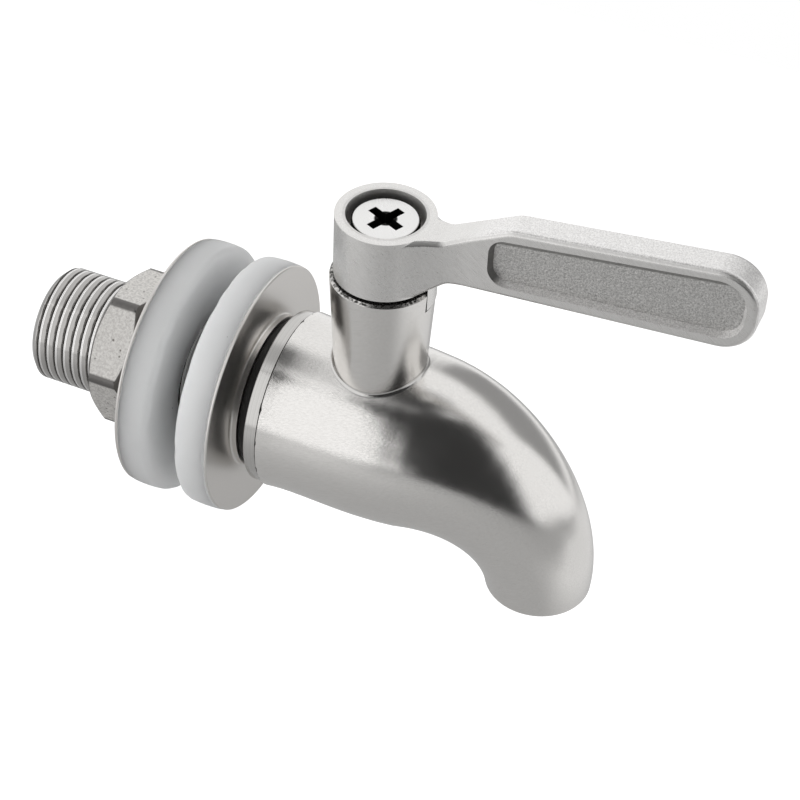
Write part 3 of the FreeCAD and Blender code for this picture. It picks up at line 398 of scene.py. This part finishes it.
def bake(piece, tree, values):
    """Run a geometry tree on the piece with these inputs and keep what it makes."""
    modifier = piece.modifiers.new(tree.name, "NODES")
    modifier.node_group = tree
    for item in tree.interface.items_tree:
        if item.in_out == "INPUT" and item.name in values:
            modifier[item.identifier] = values[item.name]
    graph = bpy.context.evaluated_depsgraph_get()
    baked = bpy.data.meshes.new_from_object(piece.evaluated_get(graph))
    piece.modifiers.remove(modifier)
    piece.data = baked
    piece.data.name = piece.name


def mark_corners(piece, degrees):
    """Shade the piece smoothly, but keep its corners that turn by more than this crisp."""
    piece.data.polygons.foreach_set("use_smooth", [True] * len(piece.data.polygons))
    piece.data.set_sharp_from_angle(angle=math.radians(degrees))


def near(tree, value, middle, half):
    """A mask that is 1 where the value lies no further than half from the middle."""
    return math_node(tree, "COMPARE", value, middle, half)


turning_rings = make_turning_rings()
thread_cutter = make_thread_cutter()

thread_pitch = 0.0254 / 19
thread_radius = 0.00833
rings_per_turn = 22
shank_end = -0.0284
lead_in_radius = 0.00753
bore_radius = 0.005
undercut_x = 0.00595
undercut_radius = 0.0076
collar_back = 0.0077
collar_radius = 0.01245
collar_chamfer = 0.00012
nose_radius = 0.00945
nose_end = 0.0135
tip_radius = 0.00855
tip_end = 0.0142

turned_steel, tree, shader, place = new_material("turned steel", 1.0)
rings = add_node(tree, "ShaderNodeGroup", {
    "Position": place, "Roughness": 0.08, "Unevenness": 0.14,
}, node_tree=turning_rings)
seam = add_node(tree, "ShaderNodeGroup", {
    "Position": place, "Seam": collar_front, "Half Width": 0.00013, "Raggedness": 0.0001,
}, node_tree=dark_seam)
x, y, z = split(tree, place)

# The threaded outside ends a little short of both ends of the thread, and is darker. Within one turn the
# groove gets painted shade and thin painted highlights run beside the crest.
thread_middle = (shank_end + undercut_x) / 2
thread_half = (undercut_x - shank_end) / 2
on_thread = both(
    tree, near(tree, x, thread_middle, thread_half - 0.0004),
    math_node(tree, "GREATER_THAN", radius_of(tree, y, z), lead_in_radius - 0.00013),
)
phase = math_node(tree, "FRACT", thread_phase(tree, (x, y, z), shank_end, thread_pitch))
# Painted highlights beside the crest, and painted shade in the groove.
crest_highlights = math_node(tree, "MAXIMUM", near(tree, phase, 0.665, 0.06), near(tree, phase, 0.815, 0.035))
groove = near(tree, phase, 0.44, 0.06)

bare = mix_colours(tree, rings.outputs["Height"], (0.66, 0.65, 0.635), (0.46, 0.45, 0.435))
threaded = mix_colours(tree, rings.outputs["Height"], (0.52, 0.51, 0.495), (0.36, 0.35, 0.34))
bare = mix_colours(tree, on_thread, bare, threaded)
bare = mix_colours(tree, both(tree, on_thread, groove), bare, (0.16, 0.155, 0.15))
bare = mix_colours(tree, both(tree, on_thread, crest_highlights), bare, (0.97, 0.96, 0.95))
shade = mix_colours(tree, seam.outputs["Grime"], bare, grime_and_shade_colour)
set_look(tree, shader, shade, rings.outputs["Roughness"], rings.outputs["Height"], 0.0000015)

smooth_rings = int((undercut_x - shank_end) / thread_pitch * rings_per_turn)
shank_outline = [(shank_end, bore_radius), (shank_end, lead_in_radius)]
for ring in range(1, smooth_rings):
    ring_x = shank_end + (undercut_x - shank_end) * ring / smooth_rings
    shank_outline.append((ring_x, min(thread_radius, lead_in_radius + ring_x - shank_end)))
shank_outline += [
    (undercut_x, thread_radius),
    (undercut_x + 0.00005, undercut_radius),
    (collar_back, undercut_radius),
    (collar_back, collar_radius - collar_chamfer),
    (collar_back + collar_chamfer, collar_radius),
    (collar_front - collar_chamfer, collar_radius),
    (collar_front, collar_radius - collar_chamfer),
    (collar_front, nose_radius),
    (nose_end, nose_radius),
    (nose_end, tip_radius),
    (tip_end, tip_radius),
    (tip_end, bore_radius),
]
shank = lathe("shank_with_thread", shank_outline, steps=112)
bake(shank, thread_cutter, {
    "Crest Radius": thread_radius,
    "Pitch": thread_pitch,
    "Depth": 0.0003,
    "Crest Share": 0.34,
    "Start": shank_end,
    "End": undercut_x - 0.0002,
    "Run Out": 0.0015,
    "Material": turned_steel,
})
mark_corners(shank, 40)
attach(shank, "tap")
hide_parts("threaded_shank")


# Seal rings, ball and seats: the shank's nose presses a plastic seat against
# the mirror-polished ball, and black rubber rings seal the shank and the stem.
# All of it is hidden in the body.

black_rubber, tree, shader, place = new_material("black rubber", 0.0)
dust = add_node(tree, "ShaderNodeTexNoise", {"Vector": place, "Scale": 700.0, "Detail": 4.0})
shade = mix_colours(tree, dust.outputs["Fac"], (0.008, 0.008, 0.008), (0.028, 0.027, 0.026))
rough = remap(tree, dust.outputs["Fac"], 0.3, 0.7, 0.45, 0.62)
set_look(tree, shader, shade, rough, dust.outputs["Fac"], 0.00002)
paint(black_rubber, "shank_seal_ring", "stem_lower_ring", "stem_upper_ring")

seat_plastic, tree, shader, place = new_material("white seat plastic", 0.0)
grain = add_node(tree, "ShaderNodeTexNoise", {"Vector": place, "Scale": 900.0, "Detail": 3.0})
rough = remap(tree, grain.outputs["Fac"], 0.3, 0.7, 0.35, 0.5)
set_look(tree, shader, (0.86, 0.86, 0.84), rough, grain.outputs["Fac"], 0.00001)
paint(seat_plastic, "rear_ball_seat", "front_ball_seat", "stem_thrust_washer")

ball_steel, tree, shader, place = new_material("mirror steel", 1.0)
marks = add_node(tree, "ShaderNodeGroup", {
    "Position": place, "Roughness": 0.05, "Cloudiness": 0.02, "Scratches": 0.02,
}, node_tree=polish_marks)
set_look(tree, shader, (0.8, 0.8, 0.8), marks.outputs["Roughness"])
paint(ball_steel, "valve_ball")


# Stem and gland: turned steel that stands upright in the tower, held down by
# a screwed ring. Only a dark slit under the lever's hub shows them.

stem_steel, tree, shader, place = new_material("turned steel of the stem", 1.0)
rings = add_node(tree, "ShaderNodeGroup", {
    "Position": turned(tree, place, (stem_x, 0.0, 0.0), (0.0, 90.0, 0.0)),
    "Roughness": 0.24, "Unevenness": 0.1,
}, node_tree=turning_rings)
set_look(
    tree, shader, (0.74, 0.735, 0.725), rings.outputs["Roughness"], rings.outputs["Height"], 0.000004,
)
paint(stem_steel, "stem", "stem_gland")


# Lever: hub, blade and stop lug in one casting. The outside is brushed to a
# satin, the recess in each side keeps the blasted grain of the mould, and the
# blade's rim is speckled where the brush has only touched the grain's tops.

def make_blasted_grain():
    """Fine pits of a blasted surface, as height, as light and dark specks, and as deep pocks."""
    tree, given, result = new_group(
        "blasted grain", "ShaderNodeTree",
        [("Position", "NodeSocketVector", None), ("Grains per Metre", "NodeSocketFloat", 3000.0)],
        [("Height", "NodeSocketFloat"), ("Speck", "NodeSocketFloat"), ("Pock", "NodeSocketFloat")],
    )
    fine = add_node(tree, "ShaderNodeTexNoise", {
        "Vector": given["Position"], "Scale": given["Grains per Metre"], "Detail": 2.0, "Roughness": 0.6,
    })
    coarse_scale = math_node(tree, "MULTIPLY", given["Grains per Metre"], 0.4)
    pits = add_node(tree, "ShaderNodeTexVoronoi", {"Vector": given["Position"], "Scale": coarse_scale})
    pit = above(tree, pits.outputs["Distance"], 0.05, 0.55)
    some = add_node(tree, "ShaderNodeSeparateColor", {"Color": pits.outputs["Color"]}).outputs["Red"]
    deep = math_node(tree, "GREATER_THAN", some, 0.72)
    pock = both(tree, deep, below(tree, pits.outputs["Distance"], 0.1, 0.26))
    height = math_node(tree, "ADD", math_node(tree, "MULTIPLY", pit, 0.6), fine.outputs["Fac"])
    tree.links.new(height, result["Height"])
    tree.links.new(above(tree, fine.outputs["Fac"], 0.38, 0.62), result["Speck"])
    tree.links.new(pock, result["Pock"])
    return tree


blasted_grain = make_blasted_grain()

neck_start = 0.0341
neck_end = 0.0371
neck_shade_end = 0.0415
web_half = 0.002
recess_start = 0.0374
recess_top = 0.03955
recess_rise = 0.1351
sink_radius = 0.0056
sink_floor = 0.0335

lever_steel, tree, shader, place = new_material("satin and blasted steel", 1.0)
x, y, z = split(tree, place)
facing_x, facing_y, facing_z = split(tree, tree.nodes.new("ShaderNodeNewGeometry").outputs["Normal"])

# The recess and the rim of the blade are told apart by how far a spot lies from
# the blade's middle and by how far it faces sideways.
past_neck = above(tree, x, neck_start, neck_end, "SMOOTHSTEP")
off_side = math_node(tree, "ABSOLUTE", y)
sunk = below(tree, off_side, web_half - 0.00015, web_half + 0.00015, "SMOOTHSTEP")
sideways = above(tree, math_node(tree, "ABSOLUTE", facing_y), 0.55, 0.75)
in_recess = both(tree, past_neck, sunk, sideways)
on_rim = both(tree, past_neck, math_node(tree, "SUBTRACT", 1.0, sideways))

# Painted shade darkens the recess's end wall by the neck, and a painted shadow of the rim runs along the
# recess under its top edge.
shaded_wall = both(
    tree, on_rim, below(tree, x, neck_shade_end, neck_shade_end + 0.001),
    above(tree, facing_x, 0.3, 0.6),
)
past_start = math_node(tree, "SUBTRACT", x, recess_start)
top_there = math_node(tree, "MULTIPLY_ADD", past_start, recess_rise, recess_top)
under_top = math_node(tree, "SUBTRACT", top_there, z)
shadow_under_the_edge = both(tree, in_recess, below(tree, under_top, 0.00105, 0.00122))

# The upper edge on the -Y side and the sink round the screw are duller.
on_edge = both(tree, above(tree, facing_z, 0.3, 0.5), below(tree, facing_y, -0.5, -0.3))
from_stem = radius_of(tree, math_node(tree, "SUBTRACT", x, stem_x), y)
in_sink = both(
    tree, below(tree, from_stem, sink_radius, sink_radius + 0.0001),
    math_node(tree, "GREATER_THAN", z, sink_floor),
)
dull = math_node(tree, "MAXIMUM", on_edge, in_sink)

marks = add_node(tree, "ShaderNodeGroup", {
    "Position": turned(tree, place, (stem_x, 0.0, 0.03), (0.0, -38.0, 0.0)),
    "Roughness": 0.2, "Cloudiness": 0.08, "Scratches": 0.09,
}, node_tree=polish_marks)
grain = add_node(tree, "ShaderNodeGroup", {
    "Position": place, "Grains per Metre": 5200.0,
}, node_tree=blasted_grain)
brushed = mix_colours(tree, marks.outputs["Height"], (0.82, 0.81, 0.795), (0.72, 0.71, 0.695))
blasted = mix_colours(tree, grain.outputs["Speck"], (0.46, 0.455, 0.445), (0.72, 0.71, 0.695))
# The rim's painted shadow along the recess's top edge, and painted shade on the end wall by the neck.
blasted = mix_colours(tree, shadow_under_the_edge, blasted, (0.28, 0.275, 0.265))
worn = mix_colours(tree, grain.outputs["Speck"], (0.74, 0.73, 0.72), (0.96, 0.95, 0.94))
worn = mix_colours(tree, shaded_wall, worn, (0.3, 0.295, 0.285))
shade = mix_colours(tree, on_rim, mix_colours(tree, in_recess, brushed, blasted), worn)
rough = mix_values(tree, in_recess, marks.outputs["Roughness"], 0.42)
rough = mix_values(tree, dull, rough, 0.5)
on_wall = both(tree, on_rim, near(tree, facing_y, -0.42, 0.08))
rough = mix_values(tree, on_rim, rough, mix_values(tree, on_wall, 0.4, 0.75))
fine_lines = math_node(tree, "MULTIPLY", marks.outputs["Height"], 0.06)
pitted = math_node(tree, "MULTIPLY", grain.outputs["Height"], 0.35)
height = mix_values(tree, in_recess, fine_lines, grain.outputs["Height"])
set_look(tree, shader, shade, rough, mix_values(tree, on_rim, height, pitted), 0.00007)
paint(lever_steel, "lever_handle")


# Handle screw and spring washer: a flat-headed screw with a cross recess clamps the hub onto the stem.
# The head is faced flat and nearly white. The recess is painted black as shade, and a painted dark disc
# of shade in the middle of the face rounds its inner corners.

head_face = 0.03612
shaded_middle_radius = 0.0015

screw_steel, tree, shader, place = new_material("faced screw steel", 1.0)
marks = add_node(tree, "ShaderNodeGroup", {
    "Position": turned(tree, place, (stem_x, 0.0, 0.034), (0.0, 0.0, 50.0)),
    "Roughness": 0.26, "Cloudiness": 0.06, "Scratches": 0.1,
}, node_tree=polish_marks)
x, y, z = split(tree, place)

# Painted shade: the cross is black from just under the face, and a painted dark disc in its middle
# reaches up to the face.
reach = radius_of(tree, math_node(tree, "SUBTRACT", x, stem_x), y)
under_face = below(tree, z, head_face - 0.00007, head_face)
shaded_middle = below(tree, reach, shaded_middle_radius - 0.0001, shaded_middle_radius + 0.0001)
shadow = math_node(tree, "MAXIMUM", under_face, shaded_middle)
shade = mix_colours(tree, shadow, (0.86, 0.855, 0.845), (0.015, 0.014, 0.013))
rough = mix_values(tree, shadow, marks.outputs["Roughness"], 0.6)
set_look(tree, shader, shade, rough, marks.outputs["Height"], 0.000003)
paint(screw_steel, "handle_screw", "spring_washer")


# Gasket: a flat black rubber ring between the shank's collar and the front
# steel washer. Its rim bulges a little, because the collar squeezes it.

def rounded_ring(name, low_x, high_x, inner, outer, back_round, front_round, bulge):
    """A soft ring about the X axis with rounded rims and a bulging outer side."""
    bore_chamfer = 0.0002
    arc_steps = 10
    outline = [(low_x + bore_chamfer, inner), (low_x, inner + bore_chamfer)]
    outline += [(low_x, inner + (outer - inner - back_round) * part / 4) for part in (1, 2, 3)]
    for step in range(arc_steps + 1):
        angle = math.pi / 2 / arc_steps * step
        outline.append((
            low_x + back_round * (1 - math.cos(angle)),
            outer - bulge - back_round * (1 - math.sin(angle)),
        ))
    for step in range(1, 6):
        share = step / 6
        outline.append((
            low_x + back_round + (high_x - low_x - back_round - front_round) * share,
            outer - bulge * (2 * share - 1) ** 2,
        ))
    for step in range(arc_steps, -1, -1):
        angle = math.pi / 2 / arc_steps * step
        outline.append((
            high_x - front_round * (1 - math.cos(angle)),
            outer - bulge - front_round * (1 - math.sin(angle)),
        ))
    outline += [(high_x, inner + (outer - inner - front_round) * part / 4) for part in (3, 2, 1)]
    outline += [(high_x, inner + bore_chamfer), (high_x - bore_chamfer, inner)]
    return lathe(name, outline, steps=160)


gasket = rounded_ring(
    "rubber_gasket", undercut_x, collar_back, inner=0.00765, outer=0.01075,
    back_round=0.0003, front_round=0.0003, bulge=0.0001,
)
gasket.data.materials.append(black_rubber)
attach(gasket, "tap")
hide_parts("flange_gasket")


# Steel washers: stamped from bright sheet and tumbled to a soft shine. Each
# backs a silicone washer on the side away from the vessel's wall, and spreads
# the pressure of the collar or the nut.

washer_steel, tree, shader, place = new_material("bright sheet steel", 1.0)
rings = add_node(tree, "ShaderNodeGroup", {
    "Position": place, "Roughness": 0.26, "Unevenness": 0.1, "Rings per Metre": 2500.0,
}, node_tree=turning_rings)
set_look(
    tree, shader, (0.75, 0.73, 0.705), rings.outputs["Roughness"], rings.outputs["Height"], 0.000001,
)
paint(washer_steel, "front_steel_washer", "rear_steel_washer")


# Silicone washers: thick moulded rings that clamp the vessel's wall between
# them. They are milky and let some light in, and their rims are rounded.

silicone, tree, shader, place = new_material("milky silicone", 0.0)
haze = add_node(tree, "ShaderNodeTexNoise", {"Vector": place, "Scale": 160.0, "Detail": 3.0})
specks = add_node(tree, "ShaderNodeTexVoronoi", {"Vector": place, "Scale": 260.0})
rare = add_node(tree, "ShaderNodeSeparateColor", {"Color": specks.outputs["Color"]}).outputs["Red"]
speck = remap(tree, specks.outputs["Distance"], 0.025, 0.045, 0.55, 0.0)
speck = math_node(tree, "MULTIPLY", speck, math_node(tree, "GREATER_THAN", rare, 0.85))
milky = mix_colours(tree, haze.outputs["Fac"], (0.74, 0.755, 0.76), (0.8, 0.81, 0.815))
shade = mix_colours(tree, speck, milky, (0.12, 0.11, 0.1))
rough = remap(tree, haze.outputs["Fac"], 0.3, 0.7, 0.36, 0.46)
skin = add_node(tree, "ShaderNodeTexNoise", {"Vector": place, "Scale": 2400.0, "Detail": 2.0})
set_look(tree, shader, shade, rough, skin.outputs["Fac"], 0.000006)
shader.inputs["Subsurface Weight"].default_value = 1.0
shader.inputs["Subsurface Radius"].default_value = (1.0, 1.0, 1.0)
shader.inputs["Subsurface Scale"].default_value = 0.025

silicone_thickness = 0.0046
silicone_radius = 0.0182
wavy_rim_width = 0.0014
waves_per_metre = 330
wave_share = 0.12


def silicone_washer(name, node, low_x, back_round, front_round, body):
    """A silicone washer whose back face lies at low_x, its rims a little wavy."""
    high_x = low_x + silicone_thickness
    washer = rounded_ring(
        name, low_x, high_x, inner=0.00878, outer=silicone_radius,
        back_round=back_round, front_round=front_round, bulge=0.0001,
    )
    for point in washer.data.vertices:
        x, y, z = point.co
        if math.hypot(y, z) > silicone_radius - wavy_rim_width:
            spot = Vector((low_x * 900, y * waves_per_metre, z * waves_per_metre))
            wave = max(0.0, noise.noise(spot))
            towards_middle = (low_x + high_x) / 2 - x
            point.co.x = x + wave * wave_share * towards_middle
    washer.data.materials.append(silicone)
    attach(washer, body)
    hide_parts(node)


silicone_washer("front_soft_washer", "front_silicone_washer", 0.0, 0.0006, 0.00025, "tap")
silicone_washer("rear_soft_washer", "rear_silicone_washer", -0.00875, 0.0003, 0.0011, "clamp")


# Hexagon nut: six flats on a turned blank with bevelled ends and a plain boss in front. It is blasted to
# a fine warm grain, and its corners and bevels are darker and smoother. It screws along the shank and
# pushes the rear washers.

def make_flat_cutter():
    """Cut six flats about the X axis into a turned blank, with worn edges."""
    tree, given, result = new_group(
        "cut six flats", "GeometryNodeTree",
        [
            ("Geometry", "NodeSocketGeometry", None),
            ("Across Flats", "NodeSocketFloat", 0.02),
            ("First Corner", "NodeSocketFloat", 0.0),
            ("Edge Wear", "NodeSocketFloat", 0.0002),
            ("Material", "NodeSocketMaterial", None),
        ],
        [("Geometry", "NodeSocketGeometry")],
    )
    x, y, z = split(tree, tree.nodes.new("GeometryNodeInputPosition").outputs["Position"])
    radius = radius_of(tree, y, z)
    angle = math_node(tree, "SUBTRACT", math_node(tree, "ARCTAN2", z, y), given["First Corner"])
    off_corner = math_node(tree, "PINGPONG", angle, math.pi / 6)
    off_middle = math_node(tree, "SUBTRACT", math.pi / 6, off_corner)
    flat = math_node(tree, "DIVIDE", given["Across Flats"], 2.0)
    flat_radius = math_node(tree, "DIVIDE", flat, math_node(tree, "COSINE", off_middle))
    new_radius = math_node(tree, "SMOOTH_MIN", radius, flat_radius, given["Edge Wear"])
    scale = math_node(tree, "DIVIDE", new_radius, radius)
    move_and_paint(tree, given, result, (x, y, z), scale)
    return tree


nut_front = -0.0092
nut_bore = 0.0084
boss_front_radius = 0.0089
boss_back_radius = 0.0091
flats_front = -0.0119
flats_back = -0.0181
nut_turned_radius = 0.01135
nut_face_radius = 0.0095
nut_bevel = 0.0011
bevel_steps = 12

nut_steel, tree, shader, place = new_material("blasted nut steel", 1.0)
grain = add_node(tree, "ShaderNodeGroup", {
    "Position": place, "Grains per Metre": 3000.0,
}, node_tree=blasted_grain)
x, y, z = split(tree, place)

# The bevels at both ends and the six corners are darker and smoother.
radius = radius_of(tree, y, z)
from_back = math_node(tree, "SUBTRACT", x, flats_back)
from_front = math_node(tree, "SUBTRACT", flats_front, x)
in_from_end = math_node(tree, "MINIMUM", from_back, from_front)
bevel_slope = nut_bevel / (nut_turned_radius - nut_face_radius)
out_from_face = math_node(tree, "SUBTRACT", radius, nut_face_radius)
up_the_bevel = math_node(tree, "MULTIPLY", out_from_face, bevel_slope)
past_bevel = math_node(tree, "SUBTRACT", in_from_end, up_the_bevel)
on_bevel = below(tree, past_bevel, 0.00005, 0.00016)
on_corner = above(tree, radius, nut_turned_radius - 0.00025, nut_turned_radius - 0.00013)
darker_edges = math_node(tree, "MAXIMUM", on_bevel, on_corner)

clean = mix_colours(tree, grain.outputs["Speck"], (0.54, 0.525, 0.505), (0.78, 0.765, 0.74))
clean = mix_colours(tree, grain.outputs["Pock"], clean, (0.14, 0.13, 0.12))
shade = mix_colours(tree, darker_edges, clean, (0.15, 0.145, 0.14))
blasted = remap(tree, grain.outputs["Speck"], 0.0, 1.0, 0.42, 0.56)
rough = mix_values(tree, darker_edges, blasted, 0.3)
set_look(tree, shader, shade, rough, grain.outputs["Height"], 0.00003)

bevel_corners = [(
    nut_bevel * step / bevel_steps,
    nut_face_radius + (nut_turned_radius - nut_face_radius) * step / bevel_steps,
) for step in range(bevel_steps + 1)]
flats_length = flats_front - flats_back - 2 * nut_bevel
nut_outline = [(nut_front, nut_bore), (flats_back, nut_bore)]
nut_outline += [(flats_back + inward, radius) for inward, radius in bevel_corners]
nut_outline += [
    (flats_back + nut_bevel + flats_length * step / 12, nut_turned_radius) for step in range(1, 12)
]
nut_outline += [(flats_front - inward, radius) for inward, radius in reversed(bevel_corners)]
nut_outline += [(flats_front, boss_back_radius), (nut_front, boss_front_radius)]
nut = lathe("hexagon_nut", nut_outline, steps=360)
bake(nut, make_flat_cutter(), {
    "Across Flats": 0.02,
    "First Corner": math.radians(48.4),
    "Edge Wear": 0.00015,
    "Material": nut_steel,
})
mark_corners(nut, 40)
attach(nut, "nut")
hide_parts("hex_nut")


# Studio: a soft box with a black back on the left, black cloth behind the camera and over
# the tap, a grey card at the back on the right, and two white cards on the pale table,
# one before the spout and one under the soft box. The rest of the room is white.

def aim(item, azimuth, elevation, distance, centre):
    """Put a lamp or card at a direction from the centre, facing it."""
    a, e = math.radians(azimuth), math.radians(elevation)
    towards = Vector((math.cos(a) * math.cos(e), math.sin(a) * math.cos(e), math.sin(e)))
    item.location = Vector(centre) + towards * distance
    item.rotation_euler = towards.to_track_quat("Z", "Y").to_euler()


def add_card(name, wide, tall, brightness, feather):
    """A flat card that only the steel sees, fading out towards its edges."""
    half_x, half_y = wide / 2, tall / 2
    mesh = bpy.data.meshes.new(name)
    corners = [(-half_x, -half_y, 0), (half_x, -half_y, 0), (half_x, half_y, 0), (-half_x, half_y, 0)]
    mesh.from_pydata(corners, [], [(0, 1, 2, 3)])
    card = bpy.data.objects.new(name, mesh)
    bpy.context.scene.collection.objects.link(card)
    card.visible_camera = False
    card.visible_diffuse = False
    card.visible_shadow = False
    material = bpy.data.materials.new(name)
    material.use_nodes = True
    tree = material.node_tree
    tree.nodes.clear()
    x, y, _ = split(tree, tree.nodes.new("ShaderNodeTexCoord").outputs["Object"])
    off_x = math_node(tree, "ABSOLUTE", x)
    off_y = math_node(tree, "ABSOLUTE", y)
    solid = both(
        tree, below(tree, off_x, half_x - feather[0], half_x, "SMOOTHSTEP"),
        below(tree, off_y, half_y - feather[1], half_y, "SMOOTHSTEP"),
    )
    glow = add_node(tree, "ShaderNodeEmission", {"Color": (1.0, 1.0, 1.0, 1.0), "Strength": brightness})
    clear = tree.nodes.new("ShaderNodeBsdfTransparent")
    blend = add_node(tree, "ShaderNodeMixShader", {
        0: solid, 1: clear.outputs[0], 2: glow.outputs[0],
    })
    output = tree.nodes.new("ShaderNodeOutputMaterial")
    tree.links.new(blend.outputs[0], output.inputs["Surface"])
    mesh.materials.append(material)
    return card


table_height = -0.09


def lay(card, x, y, degrees):
    """Lay a card flat just over the table, turned by an angle."""
    card.location = (x, y, table_height + 0.005)
    card.rotation_euler = (0.0, 0.0, math.radians(degrees))


tap_middle = (0.0256, 0.0, 0.008)
box_width = 1.1
box_height = 1.2
box_brightness = 1.12
box_azimuth = -140.0
box_elevation = 15.0

black_cloth = add_card("black_cloth", 1.5, 1.5, 0.04, (0.35, 0.03))
aim(black_cloth, -60.0, 36.0, 0.75, tap_middle)
grey_card = add_card("grey_card", 0.9, 0.8, 0.33, (0.15, 0.2))
aim(grey_card, 70.0, 14.0, 0.7, tap_middle)
top_cloth = add_card("top_cloth", 0.44, 0.44, 0.07, (0.15, 0.15))
aim(top_cloth, 0.0, 90.0, 0.5, (-0.015, 0.01, 0.008))
lay(add_card("low_card", 0.36, 0.32, 0.8, (0.1, 0.08)), 0.21, 0.085, 22.0)
lay(add_card("glow_card", 0.8, 0.8, 0.88, (0.36, 0.3)), -0.36, -0.22, 40.0)

soft_box = bpy.data.lights.new("soft_box", "AREA")
soft_box.shape = "RECTANGLE"
soft_box.size = box_width
soft_box.size_y = box_height
soft_box.energy = box_brightness * math.pi * soft_box.size * soft_box.size_y
box_lamp = bpy.data.objects.new("soft_box", soft_box)
bpy.context.scene.collection.objects.link(box_lamp)
aim(box_lamp, box_azimuth, box_elevation, 0.65, tap_middle)
box_back = add_card("soft_box_back", box_width, box_height, 0.0, (0.01, 0.01))
aim(box_back, box_azimuth, box_elevation, 0.66, tap_middle)

table_mesh = bpy.data.meshes.new("table")
table_mesh.from_pydata([(-2, -2.4, 0), (2, -2.4, 0), (2, 0.25, 0), (-2, 0.25, 0)], [], [(0, 1, 2, 3)])
table = bpy.data.objects.new("table", table_mesh)
table.location = (0.0, 0.0, table_height)
bpy.context.scene.collection.objects.link(table)

# The table glows for the camera alone, so that it looks white but adds no light.
pale = bpy.data.materials.new("pale table")
pale.use_nodes = True
tree = pale.node_tree
shader = tree.nodes["Principled BSDF"]
shader.inputs["Roughness"].default_value = 0.9
shader.inputs["Base Color"].default_value = (0.5, 0.5, 0.5, 1.0)
shader.inputs["Emission Color"].default_value = (1.0, 1.0, 1.0, 1.0)
seen = tree.nodes.new("ShaderNodeLightPath").outputs["Is Camera Ray"]
tree.links.new(math_node(tree, "MULTIPLY", seen, 0.75), shader.inputs["Emission Strength"])
table_mesh.materials.append(pale)

# The camera and the steel see a plain white room, which lights the tap at less than that.
world = bpy.data.worlds.new("white room")
world.use_nodes = True
bpy.context.scene.world = world
tree = world.node_tree
path = tree.nodes.new("ShaderNodeLightPath").outputs
direct = math_node(tree, "MAXIMUM", path["Is Camera Ray"], path["Is Glossy Ray"])
direct = math_node(tree, "MAXIMUM", direct, path["Is Transmission Ray"])
room = tree.nodes["Background"]
room.inputs["Color"].default_value = (1.0, 1.0, 1.0, 1.0)
tree.links.new(remap(tree, direct, 0.0, 1.0, 0.7, 1.0), room.inputs["Strength"])


# Camera: a long lens that looks down on the tap from its right side, with the
# vessel's wall to the left of the picture. It is rolled by a few degrees.

camera_data = bpy.data.cameras.new("camera")
camera_data.lens = 99.0
camera_data.sensor_width = 36.0
camera_data.clip_start = 0.01
camera = bpy.data.objects.new("camera", camera_data)
bpy.context.scene.collection.objects.link(camera)
camera_distance = 0.3056
shift_right = 0.00292
shift_up = 0.00372
azimuth, elevation, roll = (math.radians(angle) for angle in (22.13, 42.1, 2.72))
back = Vector((
    math.sin(azimuth) * math.cos(elevation),
    -math.cos(azimuth) * math.cos(elevation),
    math.sin(elevation),
))
right = Vector((math.cos(azimuth), math.sin(azimuth), 0.0))
up = back.cross(right)
looked_at = Vector((stem_x, 0.0, 0.0)) + shift_right * right + shift_up * up
turned_right = math.cos(roll) * right + math.sin(roll) * up
turned_up = math.cos(roll) * up - math.sin(roll) * right
axes = Matrix((turned_right, turned_up, back)).transposed().to_4x4()
camera.matrix_world = Matrix.Translation(looked_at + camera_distance * back) @ axes
bpy.context.scene.camera = camera

bpy.context.scene.view_settings.view_transform = "Standard"
